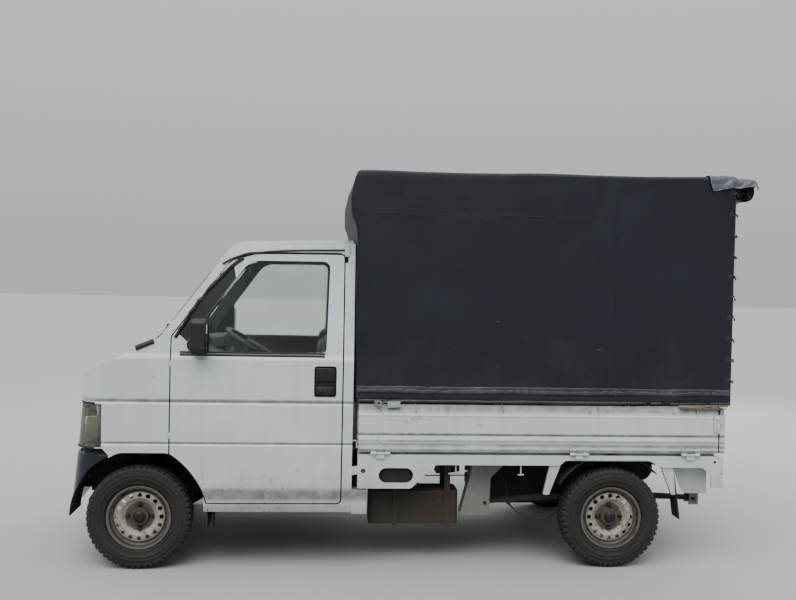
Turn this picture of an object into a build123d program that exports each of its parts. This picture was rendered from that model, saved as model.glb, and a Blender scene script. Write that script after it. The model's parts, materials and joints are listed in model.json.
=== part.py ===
from build123d import *
import os
from math import hypot

os.makedirs("parts", exist_ok=True)

# A kei truck with a short nose, a cab for two, a drop-side bed and a canvas hood.
# Millimetres. +X points to the front, +Y to the vehicle's left, +Z up. The origin
# is on the ground, under the middle of the whole vehicle's box.

# Driving dimensions
wheelbase = 2420.0
track = 1290.0
front_overhang = 385.0
rear_overhang = 590.0
hood_overhang = 25.0
roll_depth = 108.0
body_half = 737.5
tyre_radius = 260.0
tyre_width = 145.0
rim_radius = 162.0
hub_z = tyre_radius
cab_rear = -1062.0
roof_z = 1695.0
sill_bottom_z = 295.0
deck_z = 655.0
floor_z = 400.0
gate_bottom_z = 606.0
gate_top_z = 846.0
hood_top_z = 2040.0
wall = 36.0
panel_gap = 6.0
touch = 0.3
door_clear_y = 690.0

# Places along X. Side outlines below are given ahead of the front axle.
roll_overhang = hood_overhang + touch + roll_depth
total_length = front_overhang + wheelbase + rear_overhang + roll_overhang
front_axle_x = total_length / 2 - front_overhang
rear_axle_x = front_axle_x - wheelbase
tail_x = rear_axle_x - rear_overhang
cab_rear_x = front_axle_x + cab_rear
bed_front_x = cab_rear_x - 25
wheel_y = track / 2
rear = -wheelbase
tail = rear - rear_overhang

# Cab outline from the side: x ahead of the front axle, height, corner radius
windscreen_slope = 1.317
nose_top_z = 1122.0
nose_top_x = 3.0
nose_front_x = 345.0
nose_corner_z = 952.0
roof_front_x = -401.0
roof_front_z = 1654.0
cab_side = [
    (cab_rear, 200, 0),
    (nose_front_x, 200, 0),
    (nose_front_x, nose_corner_z, 200),
    (nose_top_x, nose_top_z, 12),
    (roof_front_x, roof_front_z, 280),
    (cab_rear, roof_z, 20),
]
# Cab section from the front: y, z, from the middle out and up to the roof's edge
roof_edge = (640.0, 1655.0)
cab_section = [
    (0, 200),
    (700, 200),
    (730, 330),
    (736, 628),
    (731, 637),
    (736, 648),
    (body_half, 745),
    (737, 835),
    (731, 846),
    (737, 858),
    (body_half, 1060),
    (727, 1088),
    (648, 1606),
    roof_edge,
]


def across(points, half_width):
    """A side outline as a solid across the vehicle. points: (x, z, radius) ahead of the axle."""
    with BuildPart() as block:
        with BuildSketch(Plane.XZ):
            with BuildLine():
                FilletPolyline(
                    *[(front_axle_x + x, z) for x, z, r in points],
                    radius=[r for x, z, r in points],
                    close=True,
                )
            make_face()
        extrude(amount=half_width, both=True)
    return block.part


def on_side(points, y_in, y_out, grow=0):
    """A side outline as a solid on the left side only, between two distances from the middle."""
    with BuildPart() as block:
        with BuildSketch(Plane.XZ.offset(-y_out)):
            with BuildLine():
                FilletPolyline(
                    *[(front_axle_x + x, z) for x, z, r in points],
                    radius=[r for x, z, r in points],
                    close=True,
                )
            make_face()
            if grow:
                offset(amount=grow, kind=Kind.INTERSECTION)
        extrude(amount=y_out - y_in)
    return block.part


def slab(x_from, x_to, y_from, y_to, z_from, z_to):
    """A plain block between stated faces, x ahead of the front axle."""
    with BuildPart() as block:
        with BuildSketch(Plane.XY.offset(z_from)):
            with Locations((front_axle_x + (x_from + x_to) / 2, (y_from + y_to) / 2)):
                Rectangle(x_to - x_from, y_to - y_from)
        extrude(amount=z_to - z_from)
    return block.part


def rod(start, end, radius):
    """A round bar or tube's outer form between two points."""
    run = Vector(*end) - Vector(*start)
    with BuildPart() as bar:
        with BuildSketch(Plane(origin=start, z_dir=run)):
            Circle(radius)
        extrude(amount=run.length)
    return bar.part


def other_side(part):
    """The same solid on the right side of the vehicle."""
    return mirror(part, about=Plane.XZ, mode=Mode.PRIVATE)


def cab_form(inset):
    """The cab's closed outer form, or the same form further in by inset."""
    back = inset * hypot(1, windscreen_slope) / windscreen_slope
    nose_slope = (nose_top_z - nose_corner_z) / (nose_top_x - nose_front_x)
    drop = inset * hypot(1, nose_slope)
    with BuildPart() as ahead_of_screen:
        with BuildSketch(Plane.XY.offset(nose_top_z - 100)):
            base_x = front_axle_x + nose_top_x - back + 100 / windscreen_slope
            with BuildLine():
                ThreePointArc((base_x - 70, -body_half - 20), (base_x, 0), (base_x - 70, body_half + 20))
                Polyline(
                    (base_x - 70, body_half + 20),
                    (base_x + 900, body_half + 20),
                    (base_x + 900, -body_half - 20),
                    (base_x - 70, -body_half - 20),
                )
            make_face()
        extrude(amount=1150, dir=(-1, 0, windscreen_slope))
        reach = 900
        corner = front_axle_x + nose_top_x
        with BuildSketch(Plane.XZ):
            with BuildLine():
                Polyline(
                    (corner - reach, nose_top_z - drop - nose_slope * reach),
                    (corner + reach, nose_top_z - drop + nose_slope * reach),
                    (corner + reach, roof_z + 300),
                    (corner - reach, roof_z + 300),
                    close=True,
                )
            make_face()
        extrude(amount=body_half + 40, both=True, mode=Mode.INTERSECT)
    with BuildPart() as form:
        with BuildSketch(Plane.XZ):
            with BuildLine():
                FilletPolyline(
                    *[(front_axle_x + x, z) for x, z, r in cab_side],
                    radius=[r for x, z, r in cab_side],
                    close=True,
                )
            make_face()
            if inset:
                offset(amount=-inset, kind=Kind.INTERSECTION)
        extrude(amount=body_half + 60, both=True)
        with BuildSketch(Plane.YZ.offset(cab_rear_x - 50)) as section:
            with BuildLine():
                Polyline(*cab_section)
                ThreePointArc(roof_edge, (330, roof_z - 10.6), (0, roof_z))
                Line((0, roof_z), (0, 200))
            make_face()
            mirror(about=Plane.YZ)
            fillet(
                section.vertices().filter_by_position(Axis.Z, roof_edge[1] - 5, roof_edge[1] + 5),
                radius=42,
            )
            if inset:
                offset(amount=-inset, kind=Kind.INTERSECTION)
        extrude(amount=2000, mode=Mode.INTERSECT)
        with BuildSketch(Plane.XY.offset(600)) as plan:
            side_x = front_axle_x + nose_front_x - 40
            with BuildLine():
                ThreePointArc(
                    (side_x, -body_half - 2),
                    (front_axle_x + nose_front_x + 5, 0),
                    (side_x, body_half + 2),
                )
                Polyline(
                    (side_x, body_half + 2),
                    (cab_rear_x - 400, body_half + 2),
                    (cab_rear_x - 400, -body_half - 2),
                    (side_x, -body_half - 2),
                )
            make_face()
            fillet(plan.vertices().filter_by_position(Axis.X, side_x - 5, side_x + 5), radius=125)
            if inset:
                offset(amount=-inset, kind=Kind.INTERSECTION)
        extrude(amount=1300, dir=(-0.08, 0, 1), both=True, mode=Mode.INTERSECT)
        add(ahead_of_screen.part, mode=Mode.SUBTRACT)
    return form.part


cab_outer = cab_form(0)
cab_inner = cab_form(wall)
cab_lining = cab_form(wall + touch)
with BuildPart() as shell_block:
    add(cab_outer)
    add(cab_inner, mode=Mode.SUBTRACT)
    add(slab(-1200, 600, -800, 800, 100, sill_bottom_z), mode=Mode.SUBTRACT)
cab_shell = shell_block.part

# Side openings and splits of the cab: x ahead of the axle, height, corner radius
door_front = -152.0
door_rear = -1006.0
door_top_z = 1598.0
door_bottom_z = sill_bottom_z + 46
arch_radius = tyre_radius + 85
arch_top_z = 591.0
pillar_slope = 1.367
hinge_tongue = 3.5
hinge_pin = 2.0
hinge_half = 15.0
door_axis = (front_axle_x + door_front + 7, body_half - 1)
door_hinges = [680.0, 1040.0]


def door_outline(grow):
    """The left door's edge seen from the side, grown all round."""
    with BuildPart() as block:
        with BuildSketch(Plane.XZ.offset(-body_half - 60)):
            with BuildLine():
                foot = FilletPolyline(
                    (front_axle_x - 338, door_bottom_z),
                    (front_axle_x + door_rear, door_bottom_z),
                    (front_axle_x + door_rear, door_top_z + 6),
                    (front_axle_x - 463, door_top_z),
                    (front_axle_x + door_front, door_top_z - pillar_slope * 311),
                    (front_axle_x + door_front, arch_top_z - 3),
                    radius=[20, 25, 180, 20],
                )
                ThreePointArc(
                    (front_axle_x + door_front, arch_top_z - 3),
                    (front_axle_x - 262, 487),
                    (front_axle_x - 338, door_bottom_z),
                )
            make_face()
            if grow:
                offset(amount=grow, kind=Kind.INTERSECTION)
        extrude(amount=body_half + 60 - 560)
    return block.part


window_outline = [
    (-187, 1092, 40),
    (-527, 1560, 120),
    (-935, 1563, 35),
    (-922, 1100, 25),
]
roof_block = across(
    [(-1200, 1602, 0), (-560, 1595, 0), (-430, 1556, 0), (0, 1556, 0), (0, 1900, 0), (-1200, 1900, 0)],
    body_half + 10,
)
nose_block = slab(-146, 600, -body_half - 10, body_half + 10, 100, 1171)
arch_outline = [
    (-400, 100, 0),
    (-400, 300, 0),
    (-345, 300, 0),
    (-330, 400, 0),
    (-262, 520, 60),
    (-150, arch_top_z, 90),
    (100, arch_top_z, 90),
    (225, 520, 60),
    (300, 400, 0),
    (345, 200, 0),
    (345, 100, 0),
]
screen_half = 588.0
screen_top_z = 1556.0
cowl_top_z = 1190.0
with BuildPart() as wheel_well:
    with BuildSketch(Plane.XZ.offset(-body_half - 20)):
        with Locations((front_axle_x, hub_z)):
            Circle(arch_radius)
    extrude(amount=body_half + 20 - 400)
    with BuildSketch(Plane.XZ.offset(-body_half - 20)):
        with Locations((front_axle_x, hub_z - 200)):
            Rectangle(2 * arch_radius, 400)
    extrude(amount=body_half + 20 - 400)
left_well = wheel_well.part

with BuildPart() as roof:
    add(cab_shell)
    add(roof_block, mode=Mode.INTERSECT)
    add(door_outline(panel_gap), mode=Mode.SUBTRACT)
    add(other_side(door_outline(panel_gap)), mode=Mode.SUBTRACT)

with BuildPart() as side_frames:
    add(cab_shell)
    add(roof_block, mode=Mode.SUBTRACT)
    add(nose_block, mode=Mode.SUBTRACT)
    add(door_outline(panel_gap), mode=Mode.SUBTRACT)
    add(other_side(door_outline(panel_gap)), mode=Mode.SUBTRACT)
    add(slab(-400, 100, -screen_half, screen_half, 1000, 1700), mode=Mode.SUBTRACT)
    add(slab(-1200, 0, -655, 655, 100, 1700), mode=Mode.SUBTRACT)
    add(slab(-322, 700, -800, 800, 100, 700), mode=Mode.SUBTRACT)
    for side in (-1, 1):
        ys = sorted((side * 660, side * 728))
        add(slab(cab_rear - 78, cab_rear, ys[0], ys[1], sill_bottom_z - 8, sill_bottom_z + 115))

cowl_zone = slab(-200, 45, -screen_half + touch, screen_half - touch, 1080, cowl_top_z)
lid_rear = 51.0
lid_axis = (front_axle_x + lid_rear - 5, 1102.0)
lid_hinges = [-350.0, 350.0]
lid_half = 520.0
lid_front_z = 880.0
lid_zone = slab(lid_rear, 500, -lid_half, lid_half, lid_front_z, 1300)
lid_gap_zone = slab(45, 500, -lid_half - panel_gap, lid_half + panel_gap, lid_front_z - panel_gap, 1300)
lamp_zone = slab(182, 500, 465, 760, 618, 833)
bumper_top_z = 606.0
nose_foot_z = bumper_top_z + panel_gap
nose_foot = across([(147, 100, 0), (147, 579, 0), (177, nose_foot_z, 0), (700, nose_foot_z, 0), (700, 100, 0)], 800)
behind_bumper = across([(-100, 0, 0), (151, 0, 0), (151, 575, 0), (187, 615, 0), (187, 800, 0), (-100, 800, 0)], 800)

with BuildPart() as fenders:
    add(cab_shell)
    add(nose_block, mode=Mode.INTERSECT)
    add(across(arch_outline, 800), mode=Mode.SUBTRACT)
    add(nose_foot, mode=Mode.SUBTRACT)
    add(slab(-400, 700, -560, 560, 100, 1300), mode=Mode.SUBTRACT)
    add(cowl_zone, mode=Mode.SUBTRACT)
    for zone in (lamp_zone, other_side(lamp_zone)):
        add(zone, mode=Mode.SUBTRACT)
    for side in (-1, 1):
        for z in door_hinges:
            low, high = z - hinge_half - touch, z + hinge_half + touch
            axis_y = side * door_axis[1]
            add(rod((door_axis[0], axis_y, low), (door_axis[0], axis_y, high), hinge_tongue + 1), mode=Mode.SUBTRACT)
            add(rod((door_axis[0], axis_y, low - 4), (door_axis[0], axis_y, high + 4), hinge_pin))

with BuildPart() as front_panel:
    add(cab_shell)
    add(nose_block, mode=Mode.INTERSECT)
    add(slab(-400, 700, -560 + touch, 560 - touch, 100, 1300), mode=Mode.INTERSECT)
    add(slab(-400, 700, -800, 800, 100, nose_foot_z), mode=Mode.SUBTRACT)
    add(cowl_zone, mode=Mode.SUBTRACT)
    add(lid_gap_zone, mode=Mode.SUBTRACT)
    for zone in (lamp_zone, other_side(lamp_zone)):
        add(zone, mode=Mode.SUBTRACT)

    for y in (-300, 300):
        add(slab(315, 335, y - 20, y + 20, lid_front_z - panel_gap - 4, lid_front_z - touch))

with BuildPart() as front_lid:
    add(cab_shell)
    add(lid_zone, mode=Mode.INTERSECT)
    for y in lid_hinges:
        low, high = y - hinge_half, y + hinge_half
        add(rod((lid_axis[0], low, lid_axis[1]), (lid_axis[0], high, lid_axis[1]), hinge_tongue))
        add(slab(lid_rear - 5, lid_rear + 4, low, high, lid_axis[1] - 10, lid_axis[1] - 3))
        add(slab(lid_rear - 5, lid_rear, low, high, lid_axis[1] - 10, lid_axis[1]))
        add(
            rod((lid_axis[0], low, lid_axis[1]), (lid_axis[0], high, lid_axis[1]), hinge_pin + touch),
            mode=Mode.SUBTRACT,
        )

with BuildPart() as cowl:
    add(cab_shell)
    add(slab(-200, 45 - touch, -screen_half + 2 * touch, screen_half - 2 * touch, 1080, cowl_top_z), mode=Mode.INTERSECT)
    for y in lid_hinges:
        for end in (-1, 1):
            ys = sorted((y + end * (hinge_half + touch), y + end * (hinge_half + 10)))
            add(rod((lid_axis[0], ys[0], lid_axis[1]), (lid_axis[0], ys[1], lid_axis[1]), hinge_tongue))
            add(slab(35, lid_rear - 5, ys[0], ys[1], lid_axis[1] - 16, lid_axis[1]))
        notch = hinge_half + touch
        add(slab(lid_rear - 10, lid_rear, y - notch, y + notch, 1060, 1110), mode=Mode.SUBTRACT)
        add(rod((lid_axis[0], y - notch, lid_axis[1]), (lid_axis[0], y + notch, lid_axis[1]), hinge_pin))

with BuildPart() as headlights:
    add(cab_form(1))
    add(cab_inner, mode=Mode.SUBTRACT)
    lamp_fit = slab(182 + touch, 500, 465 + touch, 760, 618 + touch, 833 - touch)
    add(lamp_fit + other_side(lamp_fit), mode=Mode.INTERSECT)

with BuildPart() as windscreen:
    add(cab_form(10))
    add(cab_form(15), mode=Mode.SUBTRACT)
    add(
        slab(-500, 100, -screen_half + touch, screen_half - touch, cowl_top_z + touch, screen_top_z - touch),
        mode=Mode.INTERSECT,
    )

# Rear wall with its window, between the two side frames
rear_window = [(-480, 1190), (480, 1190), (480, 1500), (-480, 1500)]
with BuildPart() as rear_wall:
    add(cab_shell)
    add(slab(-1200, cab_rear + wall, -655 + touch, 655 - touch, floor_z, 1700), mode=Mode.INTERSECT)
    add(roof_block, mode=Mode.SUBTRACT)
    with BuildSketch(Plane.YZ.offset(cab_rear_x - 50)):
        with BuildLine():
            FilletPolyline(*rear_window, radius=40, close=True)
        make_face()
    extrude(amount=150, mode=Mode.SUBTRACT)

with BuildPart() as cab_glass:
    add(windscreen.part)
    with BuildSketch(Plane.YZ.offset(cab_rear_x + wall / 2 - 2.5)):
        with BuildLine():
            FilletPolyline(*rear_window, radius=40, close=True)
        make_face()
        offset(amount=-touch)
    extrude(amount=5)

# Doors, their glass and their mirrors
handle = (-920.0, 957.0)
sail_rear = -335.0
with BuildPart() as left_door:
    add(cab_shell)
    add(door_outline(0), mode=Mode.INTERSECT)
    add(roof_block, mode=Mode.SUBTRACT)
    add(slab(-1200, 200, -800, 560, 100, 1800), mode=Mode.SUBTRACT)
    add(on_side(window_outline, 500, 800), mode=Mode.SUBTRACT)
    with BuildSketch(Plane.XZ.offset(-body_half - 10)):
        with Locations((front_axle_x + handle[0], handle[1])):
            RectangleRounded(112, 156, 18)
    extrude(amount=28, mode=Mode.SUBTRACT)
    for z in door_hinges:
        low, high = z - hinge_half, z + hinge_half
        add(rod((*door_axis, low), (*door_axis, high), hinge_tongue))
        add(slab(door_front - 3, door_front + 7, door_axis[1] - 3, door_axis[1], low, high))
        add(rod((*door_axis, low), (*door_axis, high), hinge_pin + touch), mode=Mode.SUBTRACT)

with BuildPart() as left_door_glass:
    add(cab_form(16))
    add(cab_form(20), mode=Mode.SUBTRACT)
    add(on_side(window_outline, 560, 800, grow=-touch), mode=Mode.INTERSECT)
    add(slab(sail_rear - touch, 0, 500, 800, 1000, 1700), mode=Mode.SUBTRACT)

with BuildPart() as mirror_head:
    with BuildSketch(Plane.YZ.offset(front_axle_x - 330)):
        with Locations((795, 1180)):
            RectangleRounded(130, 175, 30)
    extrude(amount=75)
    fillet(mirror_head.edges().group_by(Axis.X)[-1], radius=20)
    with BuildSketch(Plane.XZ.offset(-740)):
        with Locations((front_axle_x - 290, 1150)):
            RectangleRounded(50, 60, 15)
    extrude(amount=36)

with BuildPart() as left_mirror:
    add(cab_form(3))
    add(cab_form(22), mode=Mode.SUBTRACT)
    add(on_side(window_outline, 560, 800, grow=-touch), mode=Mode.INTERSECT)
    add(slab(sail_rear, 0, 500, 800, 1000, 1700), mode=Mode.INTERSECT)
    add(mirror_head.part)

# Steering axis of the left front wheel, leaning in towards its top
steer_foot = Vector(front_axle_x, 590, hub_z - 70)
steer_top = Vector(front_axle_x, 490, 690)
steer_lean = (steer_top - steer_foot).normalized()
spring_radius = 45.0
strut_rod = 10.0
tower_top = (steer_top - steer_foot).length
tower_plate = 12.0


def on_steer_axis(low, high, radius):
    """A round piece along the left steering axis, between two distances from its foot."""
    return rod(steer_foot + steer_lean * low, steer_foot + steer_lean * high, radius)


def bumper_form(inset):
    """The front bumper's closed form, or the same form further in by inset."""
    with BuildPart() as form:
        with BuildSketch(Plane.XY.offset(bumper_bottom_z)) as bumper_plan:
            bumper_side_x = front_axle_x + front_overhang - 47
            with BuildLine():
                ThreePointArc(
                    (bumper_side_x, -bumper_half),
                    (front_axle_x + front_overhang, 0),
                    (bumper_side_x, bumper_half),
                )
                Polyline(
                    (bumper_side_x, bumper_half),
                    (front_axle_x, bumper_half),
                    (front_axle_x, -bumper_half),
                    (bumper_side_x, -bumper_half),
                )
            make_face()
            fillet(
                bumper_plan.vertices().filter_by_position(Axis.X, bumper_side_x - 2, bumper_side_x + 2),
                radius=150,
            )
            if inset:
                offset(amount=-inset, kind=Kind.INTERSECTION)
        extrude(amount=bumper_top_z - bumper_bottom_z, dir=(-0.1, 0, 1))
        brow = form.edges().group_by(Axis.Z)[-1].filter_by(lambda e: e.center().X > front_axle_x + 200)
        chamfer(brow, length=bumper_brow)
    return form.part


bumper_half = 728.0
bumper_bottom_z = 290.0
bumper_wall = 20.0
bumper_brow = 30.0
housing_wall = 14.0
housing_in_y = 386.0
floor_plate = 15.0
fire_wall = -105.0
flap_front = -366.0

# Cab floor with the front wheel housings, toe board, fire wall, rockers and strut towers
with BuildPart() as cab_floor:
    add(
        across(
            [
                (cab_rear + wall + touch, floor_z, 0),
                (-350, floor_z, 40),
                (fire_wall + floor_plate, 640, 40),
                (fire_wall + floor_plate, 1060, 0),
                (fire_wall, 1060, 0),
                (fire_wall, 646, 40),
                (-356, floor_z + floor_plate, 40),
                (cab_rear + wall + touch, floor_z + floor_plate, 0),
            ],
            body_half,
        )
    )
    for side in (-1, 1):
        with BuildSketch(Plane.XZ.offset(-side * body_half)):
            with Locations((front_axle_x, hub_z)):
                Circle(arch_radius + housing_wall)
        extrude(amount=side * (body_half - housing_in_y))
    add(slab(-500, 500, -800, 800, -200, 330), mode=Mode.SUBTRACT)
    add(left_well, mode=Mode.SUBTRACT)
    add(other_side(left_well), mode=Mode.SUBTRACT)
    for side in (-1, 1):
        tower = on_steer_axis(tower_top - 150, tower_top, spring_radius + 25)
        hollow = on_steer_axis(tower_top - 250, tower_top - tower_plate, spring_radius + 13)
        bore = on_steer_axis(tower_top - 50, tower_top + 10, strut_rod + touch)
        add(tower if side > 0 else other_side(tower))
        add(hollow if side > 0 else other_side(hollow), mode=Mode.SUBTRACT)
        add(bore if side > 0 else other_side(bore), mode=Mode.SUBTRACT)
        ys = sorted((side * 640, side * 655))
        add(slab(cab_rear + wall + touch, flap_front - 6, ys[0], ys[1], 300, floor_z + 2))
        ys = sorted((side * 640, side * 760))
        add(slab(cab_rear + wall + touch, flap_front - 6, ys[0], ys[1], 300, door_bottom_z - 7))
    add(cab_lining, mode=Mode.INTERSECT)
    add(slab(300, 700, -800, 800, 0, 900), mode=Mode.SUBTRACT)
    beyond_bumper = slab(140, 700, -800, 800, 200, bumper_top_z) - bumper_form(bumper_wall + touch)
    add(beyond_bumper, mode=Mode.SUBTRACT)
    for side in (-1, 1):
        ys = sorted((side * door_clear_y, side * 800))
        add(slab(-1200, -140, ys[0], ys[1], door_bottom_z - 6, 1700), mode=Mode.SUBTRACT)

# Front bumper, wrapped to the wheel arches, with its two stays to the frame's ends
rail_in = 320.0
rail_out = 380.0
rail_front = 255.0
with BuildPart() as front_bumper:
    add(bumper_form(0))
    add(bumper_form(bumper_wall), mode=Mode.SUBTRACT)
    add(behind_bumper, mode=Mode.SUBTRACT)
    add(left_well, mode=Mode.SUBTRACT)
    add(other_side(left_well), mode=Mode.SUBTRACT)
    add(slab(200, 500, -280, 280, 330, 410), mode=Mode.SUBTRACT)
    for side in (-1, 1):
        ys = sorted((side * rail_in, side * rail_out))
        add(slab(rail_front + touch, 352, ys[0], ys[1], 345, 390))

# Dashboard and seats
seat_y = 345.0
with BuildPart() as seats:
    for side in (-1, 1):
        with BuildSketch(Plane.XZ.offset(-side * seat_y)):
            with BuildLine():
                FilletPolyline(
                    *[
                        (front_axle_x + x, z)
                        for x, z in (
                            (-470, 640),
                            (-470, 730),
                            (-830, 715),
                            (-905, 1190),
                            (-990, 1190),
                            (-960, 640),
                        )
                    ],
                    radius=[30, 45, 40, 35, 35, 30],
                    close=True,
                )
            make_face()
        extrude(amount=235, both=True)
        with BuildSketch(Plane.XY.offset(floor_z + floor_plate + touch)):
            with Locations((front_axle_x - 715, side * seat_y)):
                Rectangle(440, 380)
        extrude(amount=640 - floor_z - floor_plate - touch)

# Steering column and wheel, on the right
wheel_centre = (front_axle_x - 490, -seat_y, 1075.0)
column_dir = Vector(-0.53, 0, 0.848)
shaft_radius = 11.0
column_plane = Plane(origin=wheel_centre, x_dir=(0, 1, 0), z_dir=column_dir)
with BuildPart() as steering_wheel:
    with BuildSketch(column_plane):
        Circle(42)
    extrude(amount=-30)
    with BuildSketch(column_plane.offset(-30)):
        with PolarLocations(0, 3, start_angle=-90):
            with Locations((105, 0)):
                Rectangle(150, 26)
    extrude(amount=12)
    with BuildSketch(Plane.XZ.offset(seat_y)):
        rim_out = Vector(0.848, 0, 0.53)
        centre = Vector(wheel_centre[0], 0, wheel_centre[2]) - column_dir * 18
        spot = centre + rim_out * 180
        with Locations((spot.X, spot.Z)):
            Circle(13)
    revolve(axis=Axis(wheel_centre, tuple(column_dir)), revolution_arc=360)
    with BuildSketch(column_plane.offset(-30)):
        Circle(shaft_radius)
    extrude(amount=-540)

with BuildPart() as dashboard:
    add(
        across(
            [
                (fire_wall - touch, 780, 0),
                (fire_wall - touch, 1058, 10),
                (-230, 1080, 40),
                (-360, 1010, 40),
                (-300, 780, 30),
            ],
            body_half,
        )
    )
    add(cab_form(wall + 14), mode=Mode.INTERSECT)
    with BuildSketch(column_plane.offset(-60)):
        Circle(26)
    extrude(amount=-300)
    with BuildSketch(column_plane):
        Circle(shaft_radius + touch)
    extrude(amount=-600, mode=Mode.SUBTRACT)


# Bed: deck, headboard, skirts and rear sill in one welded piece
gate_thick = 30.0
bed_side = body_half - gate_thick - 7.5
skirt_y = 730.0
bed_rail_z = 575.0
skirt_outline = [
    (-1090, 590, 0),
    (-1090, 416, 8),
    (-1365, 416, 25),
    (-1490, 537, 25),
    (rear + 285, 537, 20),
    (rear + 256, 562, 20),
    (rear + 190, 566, 10),
    (rear - 183, 566, 10),
    (rear - 259, 529, 20),
    (rear - 477, 529, 30),
    (rear - 523, 485, 10),
    (rear - 523, 424, 5),
    (tail + 5, 424, 5),
    (tail + 5, 590, 0),
]
inner_panel = [
    (rear - 355, bed_rail_z + 5, 0),
    (rear - 352, 506, 10),
    (rear - 386, 411, 10),
    (rear - 414, 378, 10),
    (rear - 530, 378, 5),
    (rear - 530, bed_rail_z + 5, 0),
]
rope_hooks = [  # stem x, then the bar's two ends: x, z, x, z
    (-1597, -1558, 488, -1656, 504),
    (-1936, -1921, 484, -1952, 485),
]
hook_y = 706.0
hook_rod = 4.0
deck_end = tail + gate_thick + 12
with BuildPart() as load_bed:
    add(slab(-1087, deck_end, -bed_side + 4, bed_side - 4, deck_z - 22, deck_z))
    add(slab(-1110, -1087, -bed_side + 4, bed_side - 4, deck_z - 22, 850))
    for side in (-1, 1):
        skirt = on_side(skirt_outline, skirt_y - 12, skirt_y)
        skirt = skirt if side > 0 else other_side(skirt)
        add(skirt)
        ys = sorted((side * 690, side * 722))
        add(slab(-1090, deck_end, ys[0], ys[1], 560, 590))
        ys = sorted((side * 640, side * 696))
        add(slab(-1090, deck_end, ys[0], ys[1], bed_rail_z, deck_z - 10))
        panel = on_side(inner_panel, 646, 650)
        add(panel if side > 0 else other_side(panel))
        for stem_x, start_x, start_z, end_x, end_z in rope_hooks:
            y = side * hook_y
            stem_foot = (front_axle_x + stem_x, y, (start_z + end_z) / 2)
            add(rod((front_axle_x + stem_x, y, 562), stem_foot, hook_rod))
            add(rod((front_axle_x + start_x, y, start_z), (front_axle_x + end_x, y, end_z), hook_rod))
        ys = sorted((side * (skirt_y - 1.2), side * (skirt_y + 1)))
        add(slab(-1554, -1552, ys[0], ys[1], 500, 600), mode=Mode.SUBTRACT)
    add(slab(deck_end, deck_end + 20, -722, 722, 500, 590))
    with BuildSketch(Plane.XZ.offset(-800)):
        with Locations((front_axle_x - 1287, 483)):
            SlotOverall(175, 75)
        with Locations((front_axle_x + tail + 17, 498)):
            Circle(6)
    extrude(amount=1600, mode=Mode.SUBTRACT)


# Gates: a folded section with a sloping top band, a ridge and a bead
gate_section = [  # distance in from the outer face, height
    (gate_thick, gate_bottom_z),
    (2, gate_bottom_z),
    (2, 632),
    (6, 640),
    (0, 656),
    (0, 664),
    (6, 688),
    (2, 696),
    (2, 784),
    (0, 790),
    (18, gate_top_z),
    (gate_thick, gate_top_z),
]
gate_front = bed_front_x - 5
gate_rear = tail_x + gate_thick + 7
hinge_y = body_half + 5.5
hinge_z = gate_bottom_z - 8
hinge_out = 6.0
tail_hinge_x = tail_x - 6
side_hinges = [front_axle_x - 1205, (gate_front + gate_rear) / 2 - 200, gate_rear + 150]
tail_hinges = [-420.0, 0.0, 420.0]
barrel = 6.0
barrel_mid = 40.0
barrel_end = 28.0
pin_radius = 3.0
pin_bore = 3.08
side_ribs = [gate_front + share * (gate_rear - gate_front) for share in (0.24, 0.385, 0.66, 0.94)]
tail_ribs = [-540.0, -180.0, 180.0, 540.0]

with BuildPart() as left_gate:
    with BuildSketch(Plane.YZ.offset(gate_rear)):
        with BuildLine():
            Polyline(*[(body_half - 0.5 - depth, z) for depth, z in gate_section], close=True)
        make_face()
    extrude(amount=gate_front - gate_rear)
    for x in side_hinges:
        for end in (-1, 1):
            middle = x + end * (barrel_mid / 2 + 1 + barrel_end / 2)
            low, high = middle - barrel_end / 2, middle + barrel_end / 2
            add(rod((low, hinge_y, hinge_z), (high, hinge_y, hinge_z), barrel))
            add(
                slab(
                    low - front_axle_x,
                    high - front_axle_x,
                    body_half - 5,
                    hinge_y + 1,
                    hinge_z,
                    gate_bottom_z + 24,
                )
            )
        add(rod((x - 60, hinge_y, hinge_z), (x + 60, hinge_y, hinge_z), pin_bore), mode=Mode.SUBTRACT)
    for x in side_ribs:
        low_x = x - front_axle_x - 6
        add(slab(low_x, low_x + 12, body_half - 20, body_half - 2, 794, gate_top_z - 6))

with BuildPart() as tailgate:
    with BuildSketch(Plane.XZ.offset(-body_half + 3)):
        with BuildLine():
            Polyline(*[(tail_x + depth, z) for depth, z in gate_section], close=True)
        make_face()
    extrude(amount=2 * body_half - 6)
    for y in tail_hinges:
        for end in (-1, 1):
            middle = y + end * (barrel_mid / 2 + 1 + barrel_end / 2)
            low, high = middle - barrel_end / 2, middle + barrel_end / 2
            add(rod((tail_hinge_x, low, hinge_z), (tail_hinge_x, high, hinge_z), barrel))
            add(
                slab(
                    tail_hinge_x - 1 - front_axle_x,
                    tail_x + 5 - front_axle_x,
                    low,
                    high,
                    hinge_z,
                    gate_bottom_z + 24,
                )
            )
        add(rod((tail_hinge_x, y - 60, hinge_z), (tail_hinge_x, y + 60, hinge_z), pin_bore), mode=Mode.SUBTRACT)
    for y in tail_ribs:
        add(slab(tail + 1.5, tail + 19.5, y - 6, y + 6, 794, gate_top_z - 6))

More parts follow.
